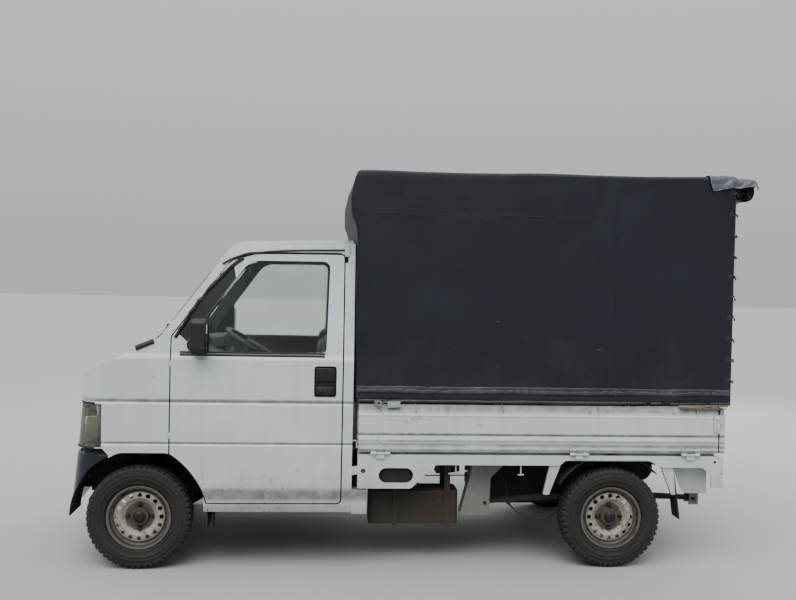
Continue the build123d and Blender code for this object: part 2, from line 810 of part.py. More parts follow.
with BuildPart() as bed_fittings:
    for side in (-1, 1):
        for x in side_hinges:
            low, high = x - barrel_mid / 2, x + barrel_mid / 2
            y = side * hinge_y
            add(rod((low, y, hinge_z), (high, y, hinge_z), barrel))
            add(rod((x - 50, y, hinge_z), (x + 50, y, hinge_z), pin_radius))
            ys = sorted((side * (skirt_y - 8), y))
            add(slab(low - front_axle_x, high - front_axle_x, ys[0], ys[1], hinge_z - 26, hinge_z))
    for y in tail_hinges:
        low, high = y - barrel_mid / 2, y + barrel_mid / 2
        add(rod((tail_hinge_x, low, hinge_z), (tail_hinge_x, high, hinge_z), barrel))
        add(rod((tail_hinge_x, y - 50, hinge_z), (tail_hinge_x, y + 50, hinge_z), pin_radius))
        add(slab(tail_hinge_x - front_axle_x, deck_end, low, high, hinge_z - 26, hinge_z - 10))
        add(slab(tail_hinge_x - front_axle_x, tail_hinge_x + 6 - front_axle_x, low, high, hinge_z - 26, hinge_z))
    for side in (-1, 1):
        for foot in (
            [(rear + 334, 540, 0), (rear + 368, 384, 5), (rear + 336, 384, 5), (rear + 276, 540, 0)],
            [(rear - 257, 532, 0), (rear - 315, 385, 0), (rear - 337, 385, 0), (rear - 322, 532, 0)],
        ):
            stay = on_side(foot, 700, skirt_y - 12)
            add(stay if side > 0 else other_side(stay))
with BuildPart() as bed:
    add(load_bed.part)
    add(bed_fittings.part)

# Hood: tube frame on the deck, canvas over it, rear curtain rolled up
tube = 12.5
hem_z = gate_top_z + 10
hood_front = cab_rear - 6
hood_rear = tail - hood_overhang
hood_half = 727.0
hood_rise = 20.0
canvas = 6.0
post_y = 684.0
posts = [-1132.0, (-1132.0 + hood_rear + 90) / 2, hood_rear + 90]


def hood_z(x):
    """Height of the canvas's top at x ahead of the front axle."""
    return hood_top_z - hood_rise / 2 + hood_rise * (hood_front - x) / (hood_front - hood_rear)


with BuildPart() as tarpaulin:
    with BuildSketch(Plane.XZ):
        with BuildLine():
            Polyline(
                (front_axle_x + hood_front, hem_z),
                (front_axle_x + hood_front, hood_z(hood_front)),
                (front_axle_x + hood_rear, hood_z(hood_rear)),
                (front_axle_x + hood_rear, hem_z),
                close=True,
            )
        make_face()
    extrude(amount=hood_half, both=True)
    top_edges = tarpaulin.edges().filter_by_position(Axis.Z, hood_top_z - 40, hood_top_z + 40)
    fillet(top_edges.filter_by(lambda e: abs(e.center().X - front_axle_x - hood_rear) > 20), radius=28)
    openings = [tarpaulin.faces().sort_by(Axis.Z)[0], tarpaulin.faces().sort_by(Axis.X)[0]]
    offset(amount=-canvas, openings=openings)

bow_drop = canvas + touch + tube
side_tube = 10.0
side_tube_y = post_y + tube + touch + side_tube
side_tube_drops = [bow_drop + 2, bow_drop + 560, bow_drop + 1150]
with BuildPart() as hood_posts:
    for x in posts:
        for side in (-1, 1):
            foot = (front_axle_x + x, side * post_y, deck_z + touch)
            add(rod(foot, (foot[0], foot[1], hood_z(x) - bow_drop - tube - touch), tube))

with BuildPart() as hood_bows:
    for x in posts:
        bow_z = hood_z(x) - bow_drop
        bow_half = post_y + tube
        add(rod((front_axle_x + x, -bow_half, bow_z), (front_axle_x + x, bow_half, bow_z), tube))

with BuildPart() as hood_rails:
    for side in (-1, 1):
        for drop in side_tube_drops:
            ends = [
                (front_axle_x + x, side * side_tube_y, hood_z(x) - drop)
                for x in (posts[0] + tube, posts[-1] - tube)
            ]
            add(rod(*ends, side_tube))

with BuildPart() as rear_curtain:
    with BuildSketch(Plane.XZ.offset(-hood_half)):
        with Locations((front_axle_x + hood_rear - touch - roll_depth / 2, hood_z(hood_rear) - 68)):
            RectangleRounded(roll_depth, 130, 50)
    extrude(amount=2 * hood_half)

# Chassis frame: two rails, cross-members, spring hangers and tow eyes
rail_top_z = floor_z - touch
rail_bottom_z = 320.0
rail_high_z = 588.0
rail_low_z = 520.0
rail_outline = [
    (rail_front, rail_top_z, 0),
    (-1110, rail_top_z, 60),
    (-1270, rail_high_z, 60),
    (rear - 520, rail_high_z, 0),
    (rear - 520, rail_low_z, 0),
    (-1300, rail_low_z, 60),
    (-1140, rail_bottom_z, 60),
    (rail_front, rail_bottom_z, 0),
]
spring_y = 535.0
spring_half = 25.0
spring_bolt = 8.0
spring_eye = 20.0
plate = 6.0
plate_gap = 6.0
spring_hangers = [  # eye x, eye z, foot x, plate outline
    (
        rear + 645,
        308,
        rear + 620,
        [
            (rear + 778, 241, 12),
            (rear + 620, 241, 12),
            (rear + 616, 440, 30),
            (rear + 548, 505, 0),
            (rear + 548, 560, 0),
            (rear + 700, 560, 0),
        ],
    ),
    (
        rear - 495,
        330,
        rear - 520,
        [(rear - 470, 300, 0), (rear - 520, 300, 0), (rear - 520, 560, 0), (rear - 470, 560, 0)],
    ),
]
eye_radius = 28.0
eye_bore = 14.0
eye_y = 344.0
tow_eyes = [  # eye x, eye z, foot x, foot z
    (300, 262, 225, rail_bottom_z),
    (tail + 35, 395, tail + 102, rail_low_z),
]
with BuildPart() as frame_rails:
    left_rail = on_side(rail_outline, rail_in, rail_out)
    add(left_rail)
    add(other_side(left_rail))

tank_members = [-1330.0, -1600.0]
member_top_z = deck_z - 22 - touch
member_half = 636.0
cross_members_table = [  # x, width, half length, low z, high z
    (215, 40, rail_in, 330, 385),
    (-60, 40, rail_in, 330, 385),
    (-1080, 40, rail_in, 330, 385),
    (tank_members[0], 60, member_half, rail_high_z, member_top_z),
    (tank_members[1], 60, member_half, rail_high_z, member_top_z),
    (rear + 70, 60, member_half, rail_high_z, member_top_z),
    (rear - 220, 60, member_half, rail_high_z, member_top_z),
    (rear - 520, 40, rail_in, 525, 585),
]
with BuildPart() as cross_members:
    for x, width, half, low_z, high_z in cross_members_table:
        add(slab(x, x + width, -half, half, low_z, high_z))

with BuildPart() as spring_carriers:
    for eye_x, eye_z, foot_x, outline in spring_hangers:
        for side in (-1, 1):
            for y_in in (spring_y - spring_half - plate_gap - plate, spring_y + spring_half + plate_gap):
                hanger = on_side(outline, y_in, y_in + plate)
                add(hanger if side > 0 else other_side(hanger))
            ys = sorted((side * rail_out, side * (spring_y + spring_half + plate_gap + plate)))
            add(slab(foot_x, foot_x + 50, ys[0], ys[1], 535, 560))
            bolt_hole = rod(
                (front_axle_x + eye_x, side * 480, eye_z),
                (front_axle_x + eye_x, side * 600, eye_z),
                spring_bolt + touch,
            )
            add(bolt_hole, mode=Mode.SUBTRACT)

with BuildPart() as tow_eye_plates:
    for x, z, foot_x, foot_z in tow_eyes:
        for side in (-1, 1):
            with BuildSketch(Plane.XZ.offset(-side * eye_y)):
                Polygon(
                    (front_axle_x + x - eye_radius, z),
                    (front_axle_x + x + eye_radius, z),
                    (front_axle_x + foot_x + 22, foot_z),
                    (front_axle_x + foot_x - 22, foot_z),
                    align=None,
                )
                with Locations((front_axle_x + x, z)):
                    Circle(eye_radius)
                    Circle(eye_bore, mode=Mode.SUBTRACT)
            extrude(amount=6, both=True)

# Engine, tank and exhaust
with BuildPart() as engine:
    add(slab(rear + 90, rear + 620, -285, 285, 240, rail_high_z - touch))

tank_y = 495.0
tank_width = 190.0
tank_bottom_z = 200.0
strap = 5.0
with BuildPart() as fuel_tank:
    with BuildSketch(Plane.XY.offset(tank_bottom_z)):
        with Locations((front_axle_x - 1395, tank_y)):
            RectangleRounded(470, tank_width, 30)
    extrude(amount=172)
    for x in tank_members:
        for side in (-1, 1):
            ys = sorted((tank_y + side * tank_width / 2, tank_y + side * (tank_width / 2 + strap)))
            add(slab(x + 15, x + 45, ys[0], ys[1], tank_bottom_z - strap, rail_high_z - touch))
        ys = (tank_y - tank_width / 2, tank_y + tank_width / 2)
        add(slab(x + 15, x + 45, ys[0], ys[1], tank_bottom_z - strap, tank_bottom_z))

with BuildPart() as exhaust:
    silencer_x = rear_axle_x - 310
    add(rod((silencer_x, -240, 430), (silencer_x, 240, 430), 72))
    add(rod((rear_axle_x + 90 - touch, -150, 400), (silencer_x + 30, -150, 400), 20))
    add(rod((silencer_x - 40, -200, 400), (tail_x + 25, -200, 380), 18))

# Rear axle and leaf springs
spindle = 18.0
spindle_bore = 18.05
spring_seat_z = hub_z + 70
leaf_height = 26.0


def leaf_pack(grow):
    """The left leaf pack between its eyes, or the same grown all round."""
    (front_x, front_z), (back_x, back_z) = [hanger[:2] for hanger in spring_hangers]
    front_end = front_axle_x + front_x
    back_end = front_axle_x + back_x
    with BuildPart() as leaves:
        with BuildSketch(Plane.XZ.offset(-spring_y - spring_half - grow)):
            with BuildLine():
                ThreePointArc((front_end, front_z - 8), (rear_axle_x, spring_seat_z), (back_end, back_z - 8))
                Line((back_end, back_z - 8), (back_end, back_z + 8))
                ThreePointArc(
                    (back_end, back_z + 8),
                    (rear_axle_x, spring_seat_z + leaf_height),
                    (front_end, front_z + 8),
                )
                Line((front_end, front_z + 8), (front_end, front_z - 8))
            make_face()
            if grow:
                offset(amount=grow, kind=Kind.INTERSECTION)
        extrude(amount=2 * (spring_half + grow))
    return leaves.part


with BuildPart() as rear_axle:
    add(rod((rear_axle_x, -wheel_y + 60, hub_z), (rear_axle_x, wheel_y - 60, hub_z), 34))
    for side in (-1, 1):
        ys = sorted((side * (spring_y - spring_half), side * (spring_y + spring_half)))
        add(slab(-wheelbase - 30, -wheelbase + 30, ys[0], ys[1], hub_z, spring_seat_z + 10))
        room = leaf_pack(touch)
        add(room if side > 0 else other_side(room), mode=Mode.SUBTRACT)
        add(
            rod(
                (rear_axle_x, side * (wheel_y - 62), hub_z),
                (rear_axle_x, side * (wheel_y - 20), hub_z),
                100,
            )
        )
        add(
            rod(
                (rear_axle_x, side * (wheel_y - 22), hub_z),
                (rear_axle_x, side * (wheel_y + 30), hub_z),
                spindle,
            )
        )

with BuildPart() as leaf_springs:
    for side in (-1, 1):
        leaves = leaf_pack(0)
        add(leaves if side > 0 else other_side(leaves))
        for eye_x, eye_z, foot_x, outline in spring_hangers:
            reach = spring_half + plate_gap - touch
            ends = [(front_axle_x + eye_x, side * spring_y + y, eye_z) for y in (-reach, reach)]
            add(rod(*ends, spring_eye))
            reach = spring_half + plate_gap + plate + 8
            ends = [(front_axle_x + eye_x, side * spring_y + y, eye_z) for y in (-reach, reach)]
            add(rod(*ends, spring_bolt))

# Front suspension: cross-member, arms, rack and ball pins, then the knuckle with its strut
ball_pin = 8.0
with BuildPart() as front_suspension:
    add(slab(-150, 60, -rail_out + 2, rail_out - 2, 250, rail_bottom_z - touch))
    for side in (-1, 1):
        ball = steer_foot - steer_lean * 22
        add(rod((front_axle_x + 20, side * 300, 258), (ball.X, side * ball.Y, ball.Z), 13))
        ys = sorted((side * 330, side * 370))
        add(slab(-220, -145, ys[0], ys[1], 285, rail_bottom_z - touch))
        add(rod((front_axle_x - 200, side * 350, 300), (front_axle_x - 4, side * 588, steer_foot.Z - 32), 12))
        pin = on_steer_axis(-20, 40, ball_pin) + on_steer_axis(-34, -8, 15)
        add(pin if side > 0 else other_side(pin))
    add(rod((front_axle_x - 130, -395, 296), (front_axle_x - 130, 395, 296), 20))

with BuildPart() as left_knuckle:
    add(rod((front_axle_x, wheel_y - 27, hub_z), (front_axle_x, wheel_y - 17, hub_z), 100))
    add(rod((front_axle_x, wheel_y - 70, hub_z), (front_axle_x, wheel_y - 25, hub_z), 45))
    add(rod((front_axle_x, wheel_y - 22, hub_z), (front_axle_x, wheel_y + 30, hub_z), spindle))
    add(on_steer_axis(12, 60, 18))
    add(on_steer_axis(45, 380, 20))
    add(on_steer_axis(345, 470, spring_radius))
    add(on_steer_axis(470, tower_top, strut_rod))
    add(slab(-135, 0, 560, 580, hub_z + 2, hub_z + 24))
    add(on_steer_axis(-10, 41, ball_pin + touch), mode=Mode.SUBTRACT)

# Wheels: steel rims with round holes, and tyres. Profile: y from the wheel's middle, radius.
bead_seat = rim_radius - 10
rim_profile = [
    (57, rim_radius - 2),
    (50, rim_radius),
    (50, bead_seat),
    (26, 149),
    (14, 132),
    (-8, 132),
    (-20, 149),
    (-50, bead_seat),
    (-50, rim_radius),
    (-57, rim_radius - 2),
    (-55, 146),
    (-22, 144),
    (-12, 127),
    (14, 127),
    (26, 120),
    (31, 111),
    (29, 98),
    (12, 80),
    (8, 52),
    (-10, 44),
    (-10, spindle_bore),
    (34, spindle_bore),
    (32, 44),
    (14, 50),
    (18, 78),
    (36, 95),
    (38, 112),
    (34, 126),
    (22, 133),
    (32, 146),
    (55, 146),
]
rim_hole_circle = 110.0
tyre_half = tyre_width / 2
tyre_profile = [  # y, radius, corner radius
    (-49, bead_seat + touch, 0),
    (49, bead_seat + touch, 0),
    (49, rim_radius + 2, 0),
    (60, rim_radius + 4, 4),
    (tyre_half, (rim_radius + tyre_radius) / 2 - 11, 20),
    (tyre_half - 1, tyre_radius - 22, 20),
    (tyre_half - 14, tyre_radius - 3, 8),
    (0, tyre_radius, 200),
    (-tyre_half + 14, tyre_radius - 3, 8),
    (-tyre_half + 1, tyre_radius - 22, 20),
    (-tyre_half, (rim_radius + tyre_radius) / 2 - 11, 20),
    (-60, rim_radius + 4, 4),
    (-49, rim_radius + 2, 0),
]
with BuildPart() as rim:
    with BuildSketch(Plane.XY):
        with BuildLine():
            Polyline(*[(r, y) for y, r in rim_profile], close=True)
        make_face()
    revolve(axis=Axis.Y)
    with BuildSketch(Plane.XZ.offset(-100)):
        with PolarLocations(rim_hole_circle, 16):
            Circle(11)
        with PolarLocations(62, 4):
            Circle(9)
    extrude(amount=110, mode=Mode.SUBTRACT)

with BuildPart() as tyre:
    with BuildSketch(Plane.XY):
        with BuildLine():
            FilletPolyline(
                *[(r, y) for y, r, c in tyre_profile], radius=[c for y, r, c in tyre_profile], close=True
            )
        make_face()
    revolve(axis=Axis.Y)

# Lamps and mudflaps
with BuildPart() as tail_lamps:
    for side in (-1, 1):
        with BuildSketch(Plane.YZ.offset(front_axle_x + deck_end - touch)):
            with Locations((side * 590, 545)):
                RectangleRounded(200, 80, 10)
        extrude(amount=-34)

with BuildPart() as mudflaps:
    for side in (-1, 1):
        ys = sorted((side * 590, side * 680))
        add(slab(flap_front, flap_front + 6, ys[0], ys[1], 190, floor_z - touch))
        top_z = bed_rail_z - touch
        flap = on_side(
            [(rear - 328, top_z, 0), (rear - 322, top_z, 0), (rear - 370, 250, 0), (rear - 376, 250, 0)],
            590,
            688,
        )
        add(flap if side > 0 else other_side(flap))

wheels = [  # name, axle, side
    ("front_left", front_axle_x, 1),
    ("front_right", front_axle_x, -1),
    ("rear_left", rear_axle_x, 1),
    ("rear_right", rear_axle_x, -1),
]


def at_wheel(part, axle_x, side):
    """The left wheel's part at its axle, turned round for the right side."""
    part = part if side > 0 else mirror(part, about=Plane.XZ)
    return Location((axle_x, side * wheel_y, hub_z)) * part


pieces = {
    "roof": roof.part,
    "side_frames": side_frames.part,
    "fenders": fenders.part,
    "front_panel": front_panel.part,
    "front_lid": front_lid.part,
    "cowl": cowl.part,
    "headlights": headlights.part,
    "cab_glass": cab_glass.part,
    "rear_wall": rear_wall.part,
    "cab_floor": cab_floor.part,
    "front_bumper": front_bumper.part,
    "dashboard": dashboard.part,
    "seats": seats.part,
    "steering_wheel": steering_wheel.part,
    "load_bed": bed.part,
    "tailgate": tailgate.part,
    "tarpaulin": tarpaulin.part,
    "hood_posts": hood_posts.part,
    "hood_bows": hood_bows.part,
    "hood_rails": hood_rails.part,
    "rear_curtain": rear_curtain.part,
    "frame_rails": frame_rails.part,
    "cross_members": cross_members.part,
    "spring_hangers": spring_carriers.part,
    "tow_eyes": tow_eye_plates.part,
    "engine": engine.part,
    "fuel_tank": fuel_tank.part,
    "exhaust": exhaust.part,
    "rear_axle": rear_axle.part,
    "leaf_springs": leaf_springs.part,
    "front_suspension": front_suspension.part,
    "tail_lamps": tail_lamps.part,
    "mudflaps": mudflaps.part,
}
for name, piece in (
    ("door", left_door),
    ("door_glass", left_door_glass),
    ("mirror", left_mirror),
    ("gate", left_gate),
    ("knuckle", left_knuckle),
):
    pieces["left_" + name] = piece.part
    pieces["right_" + name] = mirror(piece.part, about=Plane.XZ)
for name, axle_x, side in wheels:
    pieces[name + "_rim"] = at_wheel(rim.part, axle_x, side)
    pieces[name + "_tyre"] = at_wheel(tyre.part, axle_x, side)

for name, piece in pieces.items():
    piece.label = name
    export_step(piece, "parts/" + name + ".step")
    print(name, len(piece.solids()), round(piece.volume / 1e6, 2), "" if piece.is_valid else "INVALID")
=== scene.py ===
# %% [markdown]
# # A kei truck with a canvas hood
# This script gives a finished look to a small truck whose construction was made in CAD. The packed
# CAD model comes in as a fixed frame: its pieces keep their place and shape, and Blender adds what
# CAD leaves out, which is cloth, rubber, tread, seals, wear and every surface finish.
# Places are given the way a body shop would measure them, in millimetres ahead of the front axle,
# to the left of the truck's middle and above the ground, and one helper turns them into metres.

# %% Load the frame and set the shop's measures
import json
from math import atan2, ceil, copysign, cos, exp, hypot, pi, radians, sin, sqrt, tan, tau

import bmesh
import bpy
from mathutils import Matrix, Vector, noise
from mathutils.bvhtree import BVHTree


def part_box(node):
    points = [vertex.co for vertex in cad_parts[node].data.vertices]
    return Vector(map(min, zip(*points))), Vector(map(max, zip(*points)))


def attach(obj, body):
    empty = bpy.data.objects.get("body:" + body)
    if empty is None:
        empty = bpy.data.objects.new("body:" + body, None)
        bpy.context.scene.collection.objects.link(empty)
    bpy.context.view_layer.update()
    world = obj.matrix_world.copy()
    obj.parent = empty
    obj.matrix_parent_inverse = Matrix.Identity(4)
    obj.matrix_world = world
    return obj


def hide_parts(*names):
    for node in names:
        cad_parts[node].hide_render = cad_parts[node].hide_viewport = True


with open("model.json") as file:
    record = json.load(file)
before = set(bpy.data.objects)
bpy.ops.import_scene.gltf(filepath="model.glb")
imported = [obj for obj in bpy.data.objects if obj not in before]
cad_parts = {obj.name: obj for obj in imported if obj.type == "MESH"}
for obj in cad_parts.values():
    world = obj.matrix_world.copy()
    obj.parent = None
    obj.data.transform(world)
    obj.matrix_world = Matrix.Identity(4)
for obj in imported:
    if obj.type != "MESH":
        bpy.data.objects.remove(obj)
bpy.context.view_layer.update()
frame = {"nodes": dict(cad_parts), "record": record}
MM = 0.001
wheel_low, wheel_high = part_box("front_left_tyre")
axle_x = (wheel_low.x + wheel_high.x) / 2
axle_z = (wheel_low.z + wheel_high.z) / 2
wheelbase = axle_x - (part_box("rear_left_tyre")[0].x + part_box("rear_left_tyre")[1].x) / 2
rear = -wheelbase / MM
tail = rear - 590
SIDES = (("left", 1), ("right", -1))


def at(ahead, left, up):
    """A place in metres from millimetres ahead of the front axle, left of the middle and above the ground."""
    return Vector((axle_x + ahead * MM, left * MM, up * MM))


def mesh_of(bm, name):
    """The mesh of a bmesh, which is used up."""
    mesh = bpy.data.meshes.new(name)
    bm.to_mesh(mesh)
    bm.free()
    return mesh


def new_object(name, data):
    """An object in the scene, at the origin."""
    made = bpy.data.objects.new(name, data)
    bpy.context.scene.collection.objects.link(made)
    return made


print("frame:", len(frame["nodes"]), "CAD nodes, wheelbase", round(wheelbase, 3))

# %% [markdown]
# ## The camera
# The photo was taken from beside the truck, a little ahead of its middle and almost level. The camera's
# matrix is built from three directions, which shows plainly what yaw, pitch and roll each do.

# %% Camera
camera_place = Vector((0.49895, 5.4995, 1.4792))
yaw, pitch, roll = radians(4.774), radians(1.232), radians(1.216)
focal_pixels, frame_wide, frame_high = 944.9, 796, 600
level = Vector((-sin(yaw), -cos(yaw), 0))
forward = level * cos(pitch) + Vector((0, 0, -sin(pitch)))
right = level.cross(Vector((0, 0, 1))).normalized()
upward = right.cross(forward)
turned_right = right * cos(roll) + upward * sin(roll)
turned_up = upward * cos(roll) - right * sin(roll)
camera_data = bpy.data.cameras.new("photo_camera")
camera_data.sensor_width = 36
camera_data.lens = focal_pixels / frame_wide * camera_data.sensor_width
camera = new_object("photo_camera", camera_data)
camera.matrix_world = Matrix.Translation(camera_place) @ Matrix((turned_right, turned_up,
    -forward)).transposed().to_4x4()
bpy.context.scene.camera = camera
for hub, name in ((at(0, 690, 260), "front"), (at(rear, 690, 260), "rear")):
    seen = camera.matrix_world.inverted() @ hub
    print(name, "hub at pixel", round(frame_wide / 2 - focal_pixels * seen.x / seen.z, 1),
        round(frame_high / 2 + focal_pixels * seen.y / seen.z, 1))

# %% [markdown]
# ## Floor and light
# Under a bright overcast sky most light comes from above: the sky is bright overhead and darker at the
# horizon, and one very soft sun stands on the camera's side. That draws the body's creases. A weak lamp
# behind keeps the far side readable. Two helpers for shader nodes come first, because the sky needs
# them.

# %% Floor, world and lamps
def plug(made, inputs):
    """Sets a shader node's inputs, by name or number, each to a socket or a plain value."""
    for key, value in inputs.items():
        if isinstance(value, bpy.types.NodeSocket):
            made.id_data.links.new(value, made.inputs[key])
        else:
            made.inputs[key].default_value = value
    return made


def node(tree, kind, inputs=None, **settings):
    """Adds a shader node with its settings and its inputs."""
    made = tree.nodes.new("ShaderNode" + kind)
    for key, value in settings.items():
        setattr(made, key, value)
    return plug(made, inputs or {})


floor_mesh = bmesh.new()
bmesh.ops.create_grid(floor_mesh, x_segments=1, y_segments=1, size=60)
floor = new_object("floor", mesh_of(floor_mesh, "floor"))
floor_paint = bpy.data.materials.new("floor_paint")
floor_paint.use_nodes = True
shade = floor_paint.node_tree.nodes["Principled BSDF"]
plug(shade, {"Base Color": (0.46, 0.455, 0.44, 1), "Roughness": 0.9})
floor.data.materials.append(floor_paint)

world = bpy.data.worlds.new("pale_sky")
bpy.context.scene.world = world
world.use_nodes = True
sky = world.node_tree
looking = node(sky, "TexCoord").outputs["Generated"]
ramp = node(sky, "ValToRGB", {0: node(sky, "SeparateXYZ", {0: looking}).outputs["Z"]})
horizon, overhead = ramp.color_ramp.elements
horizon.position, horizon.color = 0.02, (0.70, 0.72, 0.74, 1)
overhead.position, overhead.color = 0.75, (1.25, 1.33, 1.42, 1)
plug(sky.nodes["Background"], {"Color": ramp.outputs[0], "Strength": 0.62})
for name, kind, place, size, power in (("soft_sun", "SUN", (0.9, 3.4, 5.2), radians(50), 1.75),
        ("far_side", "AREA", (-3.0, -6.0, 4.0), 5.0, 130)):
    lamp = bpy.data.lights.new(name, kind)
    if kind == "SUN":
        lamp.angle = size
    else:
        lamp.size = size
    lamp.energy = power
    holder = new_object(name, lamp)
    holder.location = place
    holder.rotation_mode = "QUATERNION"
    holder.rotation_quaternion = (Vector((0, 0, 0.7)) - Vector(place)).to_track_quat("-Z", "Y")
bpy.context.scene.view_settings.look = "AgX - Medium High Contrast"

# %% [markdown]
# ## Shader helpers
# Every finish below is a small network of nodes, and short helpers keep those readable. A node group
# holds an effect that several finishes share, such as rust or dust, and is placed with other amounts
# each time.

# %% Shader helpers
SIGNS = {"+": "ADD", "-": "SUBTRACT", "*": "MULTIPLY", "/": "DIVIDE", "*+": "MULTIPLY_ADD", "max": "MAXIMUM"}


def calc(tree, sign, first, second=0.0, third=0.0):
    """One sum on numbers. *+ multiplies by the second and adds the third."""
    return node(tree, "Math", {0: first, 1: second, 2: third}, operation=SIGNS.get(sign, sign)).outputs[0]


def between(tree, value, low, high, start=0.0, end=1.0):
    """Turns low to high into start to end, and holds the ends."""
    names = {"Value": value, "From Min": low, "From Max": high, "To Min": start, "To Max": end}
    return node(tree, "MapRange", names).outputs["Result"]


def tint(tree, share, first, second):
    """The first colour, going over to the second as share goes to 1."""
    return node(tree, "Mix", {0: share, 6: first, 7: second}, data_type="RGBA").outputs[2]


def specks(tree, where, scale, detail=4.0, rough=0.6):
    """Cloudy noise around 0.5."""
    names = {"Vector": where, "Scale": scale, "Detail": detail, "Roughness": rough}
    return node(tree, "TexNoise", names).outputs["Fac"]


def effect(name, inputs, outputs):
    """Starts a node group: its tree, its inputs, its output node and Object coordinates."""
    tree = bpy.data.node_groups.new(name, "ShaderNodeTree")
    for key, value in inputs.items():
        socket = tree.interface.new_socket(name=key, in_out="INPUT", socket_type="NodeSocketFloat")
        socket.default_value = value
    for key, kind in outputs.items():
        tree.interface.new_socket(name=key, in_out="OUTPUT", socket_type="NodeSocket" + kind)
    given, result = tree.nodes.new("NodeGroupInput").outputs, tree.nodes.new("NodeGroupOutput")
    return tree, given, result, node(tree, "TexCoord").outputs["Object"]


def place_effect(tree, group, **amounts):
    """Places a group in a finish, with its own amounts."""
    return node(tree, "Group", amounts, node_tree=group).outputs


def covered(tree, base, group, mask, colour, **amounts):
    """Lays a colour over base where a group's mask is, and gives the new colour and the mask."""
    share = place_effect(tree, group, **amounts)[mask]
    return tint(tree, share, base, colour), share


def new_finish(name):
    """Starts a material: the material, its tree, its shader and Object coordinates."""
    made = bpy.data.materials.new(name)
    made.use_nodes = True
    tree = made.node_tree
    return made, tree, tree.nodes["Principled BSDF"], node(tree, "TexCoord").outputs["Object"]

# %% [markdown]
# ## Shared effects
# Wear depends on place, not on the part. Splash water dirties whatever is low, dust lies on whatever
# faces up, paint rubs off at edges, rain draws streaks down, and rust comes in small clusters. Each is
# a mask from 0 to 1 on Object coordinates, which are the truck's own metres because each piece's object
# sits at the origin.

# %% Shared effects
def build_road_grime():
    """Dirt that fades with height, ragged at its top and drawn out in streaks."""
    tree, given, result, spot = effect("road_grime", {"Reach": 0.5, "Amount": 0.8}, {"Grime": "Float"})
    height = node(tree, "SeparateXYZ", {0: spot}).outputs["Z"]
    ragged = specks(tree, spot, 5.0, 6.0)
    upright = node(tree, "Mapping", {"Vector": spot, "Scale": (26, 26, 2.2)}).outputs[0]
    streaks = specks(tree, upright, 1.0, 4.0)
    fade = calc(tree, "-", 1.0, calc(tree, "/", height, given["Reach"]))
    fade = calc(tree, "+", fade, calc(tree, "*+", ragged, 0.9, -0.45))
    fade = calc(tree, "+", fade, calc(tree, "*+", streaks, 0.5, -0.25))
    soft = between(tree, fade, 0.0, 0.9)
    plug(result, {"Grime": calc(tree, "*", soft, given["Amount"])})
    return tree


def build_settled_dust():
    """Dust on faces that look up."""
    tree, given, result, spot = effect("settled_dust", {"Amount": 0.5}, {"Dust": "Float"})
    facing = node(tree, "SeparateXYZ", {0: node(tree, "NewGeometry").outputs["Normal"]}).outputs["Z"]
    flat = between(tree, facing, 0.25, 0.95)
    patchy = between(tree, specks(tree, spot, 9.0, 6.0), 0.3, 0.7)
    lying = calc(tree, "*", flat, calc(tree, "*+", patchy, 0.6, 0.4))
    plug(result, {"Dust": calc(tree, "*", lying, given["Amount"])})
    return tree


def build_worn_edges():
    """Where the finish is rubbed through at edges, broken up so that it isn't an outline."""
    tree, given, result, spot = effect("worn_edges", {"Width": 0.003, "Amount": 0.5}, {"Wear": "Float"})
    true_normal = node(tree, "NewGeometry").outputs["Normal"]
    rounded = node(tree, "Bevel", {"Radius": given["Width"]}, samples=4).outputs["Normal"]
    alike = node(tree, "VectorMath", {0: true_normal, 1: rounded}, operation="DOT_PRODUCT").outputs["Value"]
    edge = between(tree, alike, 0.985, 0.80)
    broken = between(tree, specks(tree, spot, 38.0, 5.0), 0.42, 0.62)
    rubbed = calc(tree, "*", edge, broken)
    plug(result, {"Wear": calc(tree, "*", rubbed, given["Amount"])})
    return tree


def build_rust_bloom():
    """Rust in clusters of small spots, with a colour that goes from orange to dark brown."""
    tree, given, result, spot = effect("rust_bloom", {"Size": 30.0, "Amount": 0.4},
        {"Rust": "Float", "Colour": "Color"})
    cluster = between(tree, specks(tree, spot, 3.1, 3.0), 0.45, 0.70)
    grain = node(tree, "TexNoise", {"Vector": spot, "Scale": given["Size"], "Detail": 8.0, "Roughness": 0.72})
    threshold = calc(tree, "-", 0.72, calc(tree, "*", given["Amount"], 0.30))
    raised = calc(tree, "+", grain.outputs["Fac"], calc(tree, "*+", cluster, 0.16, -0.08))
    over = calc(tree, "-", raised, threshold)
    plug(result, {"Rust": between(tree, over, 0.0, 0.05)})
    deep = between(tree, specks(tree, spot, 70.0, 4.0), 0.35, 0.65)
    plug(result, {"Colour": tint(tree, deep, (0.150, 0.068, 0.034, 1), (0.050, 0.028, 0.020, 1))})
    return tree


def build_rain_streaks():
    """Thin darker runs down upright faces, and a slow change of tone from panel to panel."""
    tree, given, result, spot = effect("rain_streaks", {"Spacing": 30.0},
        {"Streaks": "Float", "Tone": "Float"})
    stretch = node(tree, "CombineXYZ", {0: given["Spacing"], 1: given["Spacing"], 2: 1.4}).outputs[0]
    upright = node(tree, "VectorMath", {0: spot, 1: stretch}, operation="MULTIPLY").outputs[0]
    plug(result, {"Streaks": between(tree, specks(tree, upright, 1.0, 5.0), 0.52, 0.80)})
    plug(result, {"Tone": between(tree, specks(tree, spot, 2.3, 5.0), 0.3, 0.7)})
    return tree


